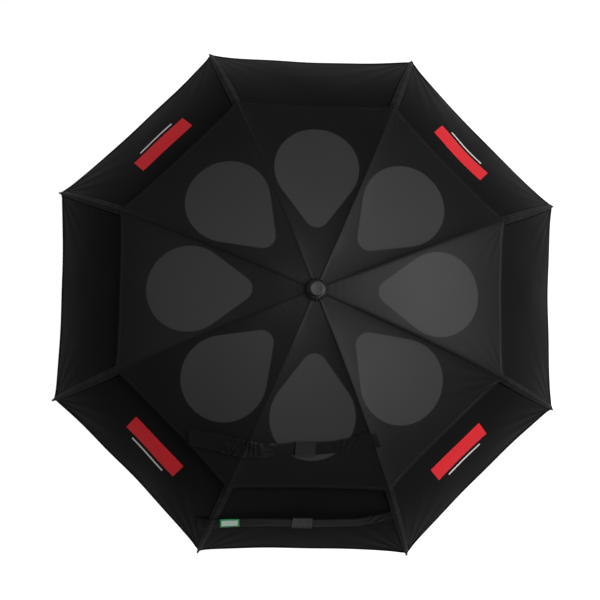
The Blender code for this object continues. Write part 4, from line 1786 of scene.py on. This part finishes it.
SHORT_STRAP = TieStrap(
    "short_strap",
    layer=LOWER,
    node="tie_strap_short",
    stations=(
        (0.205, -0.512, 0.022, 0.5 * MM, 1.0 * MM, 0.3 * MM),
        (0.175, -0.523, 0.024, 1.0 * MM, 4.0 * MM, 1.5 * MM),
        (0.120, -0.536, 0.026, 1.5 * MM, 7.0 * MM, 1.0 * MM),
        (0.040, -0.540, 0.026, 1.5 * MM, 8.0 * MM, 0.5 * MM),
        (-0.040, -0.540, 0.026, 1.5 * MM, 8.0 * MM, 0.6 * MM),
        (-0.120, -0.540, 0.026, 1.2 * MM, 6.0 * MM, 0.6 * MM),
        (-0.190, -0.541, 0.026, 0.8 * MM, 3.0 * MM, 0.3 * MM),
        (-0.262, -0.545, 0.025, 0.6 * MM, 1.0 * MM, 0.5 * MM),
    ),
    keeper=(-0.032, 0.014),
    patch=(-0.258, -0.240),
    base=1.8 * MM,
    finish=PONGEE,
)


# ---- hub, handle and the rest of the frame ---------------------------------------------
@dataclass
class Hub:
    """The fluted skirt that clamps the canopies on the crown, and the cap on top of it."""

    crown_height: float = 0.955
    flutes: int = 20
    skirt_radius: float = 27.8 * MM
    neck_radius: float = 20.4 * MM
    skirt_base: float = 8.4 * MM
    flute_depth: float = 0.10
    cap_radius: float = 17.5 * MM
    cap_base: float = 18.7 * MM
    cap_height: float = 17.0 * MM
    bore: float = 7.3 * MM

    def build(self) -> None:
        """Make both pieces and fix them on the shaft."""
        base, bore = self.crown_height + self.skirt_base, self.bore
        profile = [
            (bore, base + 10.0 * MM, 0),
            (self.neck_radius - 1.5 * MM, base + 10.0 * MM, 0),
            (self.neck_radius, base + 9.4 * MM, 0.3),
        ]
        for share in np.linspace(0.1, 0.9, 9):
            bulge = 1.2 * MM * math.sin(math.pi * share)
            radius = self.neck_radius + (self.skirt_radius - self.neck_radius) * share + bulge * 0.4
            profile.append((radius, base + (9.4 - 8.2 * share) * MM, 1.0))
        profile += [
            (self.skirt_radius, base + 0.9 * MM, 1.0),
            (self.skirt_radius - 0.4 * MM, base + 0.2 * MM, 1.0),
            (self.skirt_radius - 1.2 * MM, base, 1.0),
            (bore, base, 0),
        ]
        flute = (self.flutes, self.flute_depth)
        skirt = turned("hub_skirt", profile, self.flutes * 12, flute)
        low = self.crown_height + self.cap_base
        top = low + self.cap_height
        round_middle, round_radius = self.cap_radius - 3.2 * MM, 3.0 * MM
        rounded = [
            (
                round_middle + round_radius * math.sin(a),
                top - round_radius + round_radius * math.cos(a),
            )
            for a in np.linspace(0.15, math.pi / 2, 9)
        ]
        profile = [
            (0.0, top - 0.5 * MM),
            (6.0 * MM, top - 0.5 * MM),
            (10.5 * MM, top - 0.25 * MM),
            (12.0 * MM, top - 0.02 * MM),
            *rounded,
            (self.cap_radius, low + 1.2 * MM),
            (self.cap_radius - 0.6 * MM, low),
            (bore, low),
            (bore, low + 11.6 * MM),
            (0.0, low + 11.6 * MM),
        ]
        cap = turned("hub_cap", profile, 96)
        for piece, node in ((skirt, "cap_ring"), (cap, "top_cap")):
            NYLON.put_on(piece)
            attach(piece, "shaft")
            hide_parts(node)
        LOG.info("hub skirt and cap")


@dataclass
class Handle:
    """Straight foam grip with shallow finger rings, its ferrule and its end plug."""

    top: float = 0.190
    foot: float = 12.3 * MM
    radius: float = 15.1 * MM
    belly: float = 1.1 * MM
    ring_pitch: float = 13 * MM
    ring_depth: float = 0.8 * MM
    bore: float = 7.3 * MM
    plug_top: float = 12.0 * MM
    plug_radius: float = 17.2 * MM
    plug_round: float = 2.2 * MM

    def build(self) -> None:
        """Make the three pieces and fix them on the shaft."""
        bore = self.bore
        heights = np.linspace(self.top - 1.5 * MM, self.foot + 1.5 * MM, 150)
        profile = [
            (bore, self.top),
            (self.radius - 1.5 * MM, self.top),
            (self.radius - 0.4 * MM, self.top - 0.5 * MM),
        ]
        for height in heights:
            share = (height - self.foot) / (self.top - self.foot)
            belly = self.belly * math.sin(math.pi * share)
            groove = math.cos(math.tau * height / self.ring_pitch) ** 12 * (0.04 < share < 0.96)
            profile.append((self.radius + belly - self.ring_depth * groove, height))
        profile += [
            (self.radius - 0.4 * MM, self.foot + 0.5 * MM),
            (self.radius - 1.5 * MM, self.foot),
            (bore, self.foot),
        ]
        grip = turned("foam_grip", profile, 64)
        ferrule = turned(
            "grip_ferrule",
            [
                (bore, 0.204),
                (9.0 * MM, 0.204),
                (9.6 * MM, 0.2035),
                (11.2 * MM, 0.2018),
                (12.8 * MM, 0.1953),
                (14.4 * MM, 0.1934),
                (15.0 * MM, 0.1925),
                (15.0 * MM, 0.1910),
                (14.6 * MM, 0.1904),
                (bore, 0.1903),
            ],
            64,
        )
        top, wide, bend = self.plug_top, self.plug_radius, self.plug_round
        rounded = [
            (wide - bend + bend * math.cos(a), bend - bend * math.sin(a))
            for a in np.linspace(0, math.pi / 2, 9)
        ]
        profile = [
            (0.0, top),
            (15.0 * MM, top),
            (16.4 * MM, top - 0.5 * MM),
            (wide, top - 2.0 * MM),
            (wide, 7.0 * MM),
            (wide - 0.5 * MM, 6.6 * MM),
            (wide - 0.5 * MM, 6.0 * MM),
            (wide, 5.6 * MM),
            *rounded,
            (0.0, 0.0),
        ]
        plug = turned("grip_plug", profile, 72)
        for piece, node, finish in (
            (grip, "handle_grip", FOAM),
            (ferrule, "handle_collar", NYLON),
            (plug, "end_cap", NYLON),
        ):
            finish.put_on(piece)
            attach(piece, "shaft")
            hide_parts(node)
        LOG.info("handle")


@dataclass
class Skeleton:
    """The frame's own pieces, which keep their shape and get their real finish."""

    finishes: tuple[tuple[str, Finish], ...] = (
        ("shaft", FIBREGLASS),
        ("crown_wire", STEEL),
        ("crown", NYLON),
        ("top_stop", STEEL),
        ("runner_wire", STEEL),
        ("runner", NYLON),
        ("top_catch", STEEL),
        ("bottom_catch", STEEL),
        ("rib_tip", NYLON),
        ("rib_", FIBREGLASS),
        ("stretcher", STEEL),
    )

    def build(self) -> None:
        """Give every shown node the finish of the first name that its own starts with."""
        for node, piece in frame["nodes"].items():
            if piece.hide_render:
                continue
            for start, finish in self.finishes:
                if node.startswith(start):
                    finish.put_on(piece)
                    LOG.info("%s in %s", node, finish.name)
                    break


# ---- studio ------------------------------------------------------------------------------
@dataclass
class Studio:
    """A pale paper floor that glows in a painted pool of light, soft lights and a camera almost
    straight above.
    """

    focus: tuple[float, float, float] = (-0.036, -0.024, 0.955)
    distance: float = 3.0
    azimuth: float = math.radians(236.8)
    elevation: float = math.radians(83.9)
    roll: float = math.radians(1.03)
    lens: float = 79.0
    floor_size: float = 14.0
    clip_end: float = 60.0
    lit_height: float = 0.85
    light_distance: float = 3.4
    pool: float = 1.05
    painted_glow: float = 0.98
    far_painted_glow: float = 0.25
    horizon: float = 0.14
    zenith: float = 0.05

    def camera(self) -> None:
        """Place the camera and make it the scene's."""
        look = heading(self.azimuth, self.elevation)
        right = (-look).cross(Vector((0, 1, 0))).normalized()
        up = right.cross(-look)
        turned_right = right * math.cos(self.roll) + up * math.sin(self.roll)
        turned_up = up * math.cos(self.roll) - right * math.sin(self.roll)
        data = bpy.data.cameras.new("camera")
        data.lens = self.lens
        data.clip_end = self.clip_end
        held = bpy.data.objects.new("camera", data)
        bpy.context.scene.collection.objects.link(held)
        turn = Matrix((turned_right, turned_up, look)).transposed().to_4x4()
        held.matrix_world = Matrix.Translation(Vector(self.focus) + look * self.distance) @ turn
        bpy.context.scene.camera = held

    def light(self, name: str, azimuth: float, elevation: float, size: float, power: float) -> None:
        """Hang a soft square light that looks at the canopy.

        Args:
            name: the light's name.
            azimuth: its direction round the shaft, in degrees from +X.
            elevation: its height, in degrees above level.
            size: the length of its side.
            power: its power in watts.
        """
        way = heading(math.radians(azimuth), math.radians(elevation))
        data = bpy.data.lights.new(name, "AREA")
        data.size = size
        data.energy = power
        held = bpy.data.objects.new(name, data)
        bpy.context.scene.collection.objects.link(held)
        held.location = Vector((0, 0, self.lit_height)) + way * self.light_distance
        held.rotation_euler = way.to_track_quat("Z", "Y").to_euler()
        held.visible_camera = False

    def floor(self) -> None:
        """Lay the floor: pale paper that glows in a painted pool of light, full near the umbrella
        and fading farther out, which washes out the umbrella's shadow.
        """
        side = self.floor_size / 2
        corners = [(-side, -side, 0), (side, -side, 0), (side, side, 0), (-side, side, 0)]
        paper = mesh_object("floor", np.array(corners, float), [(0, 1, 2, 3)])
        made = bpy.data.materials.new("white_paper")
        made.use_nodes = True
        tree = made.node_tree
        shader = tree.nodes["Principled BSDF"]
        place = Finish.place(tree)
        fibre = add_node(tree, "TexNoise", {"Scale": 300.0}, {"Vector": place})
        Finish.bump(tree, shader, fibre.outputs["Fac"], 0.05 * MM)
        shader.inputs["Base Color"].default_value = linear("#9c9c9a")
        shader.inputs["Roughness"].default_value = 0.9
        # Painted light: the floor glows, strongest in a pool round the umbrella and fading outward,
        # and this glow also lights the canopy from below.
        shader.inputs["Emission Color"].default_value = linear("#ffffff")
        away = add_node(tree, "VectorMath", {"operation": "LENGTH"}, {0: place})
        pool = add_node(
            tree,
            "MapRange",
            {
                "From Min": self.pool,
                "From Max": self.pool * 2.2,
                "To Min": self.painted_glow,
                "To Max": self.far_painted_glow,
            },
            {"Value": away.outputs["Value"]},
        )
        tree.links.new(pool.outputs["Result"], shader.inputs["Emission Strength"])
        paper.data.materials.append(made)

    def build(self) -> None:
        """Set the floor, the sky, the lights and the camera."""
        self.floor()
        world = bpy.data.worlds.new("studio")
        world.use_nodes = True
        sky = world.node_tree.nodes["Background"]
        sky.inputs["Color"].default_value = linear("#f2f4f8")
        tree = world.node_tree
        direction = Finish.place(tree, "Generated")
        height = add_node(tree, "SeparateXYZ", {}, {"Vector": direction}).outputs["Z"]
        haze = add_node(
            tree,
            "MapRange",
            {"From Min": 0.02, "From Max": 0.50, "To Min": self.horizon, "To Max": self.zenith},
            {"Value": height},
        )
        tree.links.new(haze.outputs["Result"], sky.inputs["Strength"])
        bpy.context.scene.world = world
        bpy.context.scene.view_settings.view_transform = "Standard"
        self.light("key", azimuth=4, elevation=60, size=2.2, power=84)
        self.light("side", azimuth=2, elevation=34, size=1.6, power=26)
        self.light("fill", azimuth=160, elevation=46, size=2.4, power=17)
        self.camera()
        LOG.info("studio")


def main() -> None:
    """Build the umbrella's looks piece by piece."""
    logging.basicConfig(level=logging.INFO, format="%(message)s")
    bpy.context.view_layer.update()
    Studio().build()
    lower = Canopy(LOWER, PONGEE, columns=38, row_gap=4.6 * MM)
    upper = Canopy(UPPER, PONGEE_WITH_PAINTED_VENT_LIGHT, columns=34, row_gap=4.6 * MM)
    lower.build()
    upper.build()
    sewn = RibTapes().build()
    for key, prints in PrintedBars().build().items():
        sewn[key] = [*sewn.get(key, []), *prints]
    LONG_STRAP.build()
    SHORT_STRAP.build()
    StrapLabel(SHORT_STRAP).build()
    Hub().build()
    Handle().build()
    Skeleton().build()


if __name__ == "__main__":
    main()
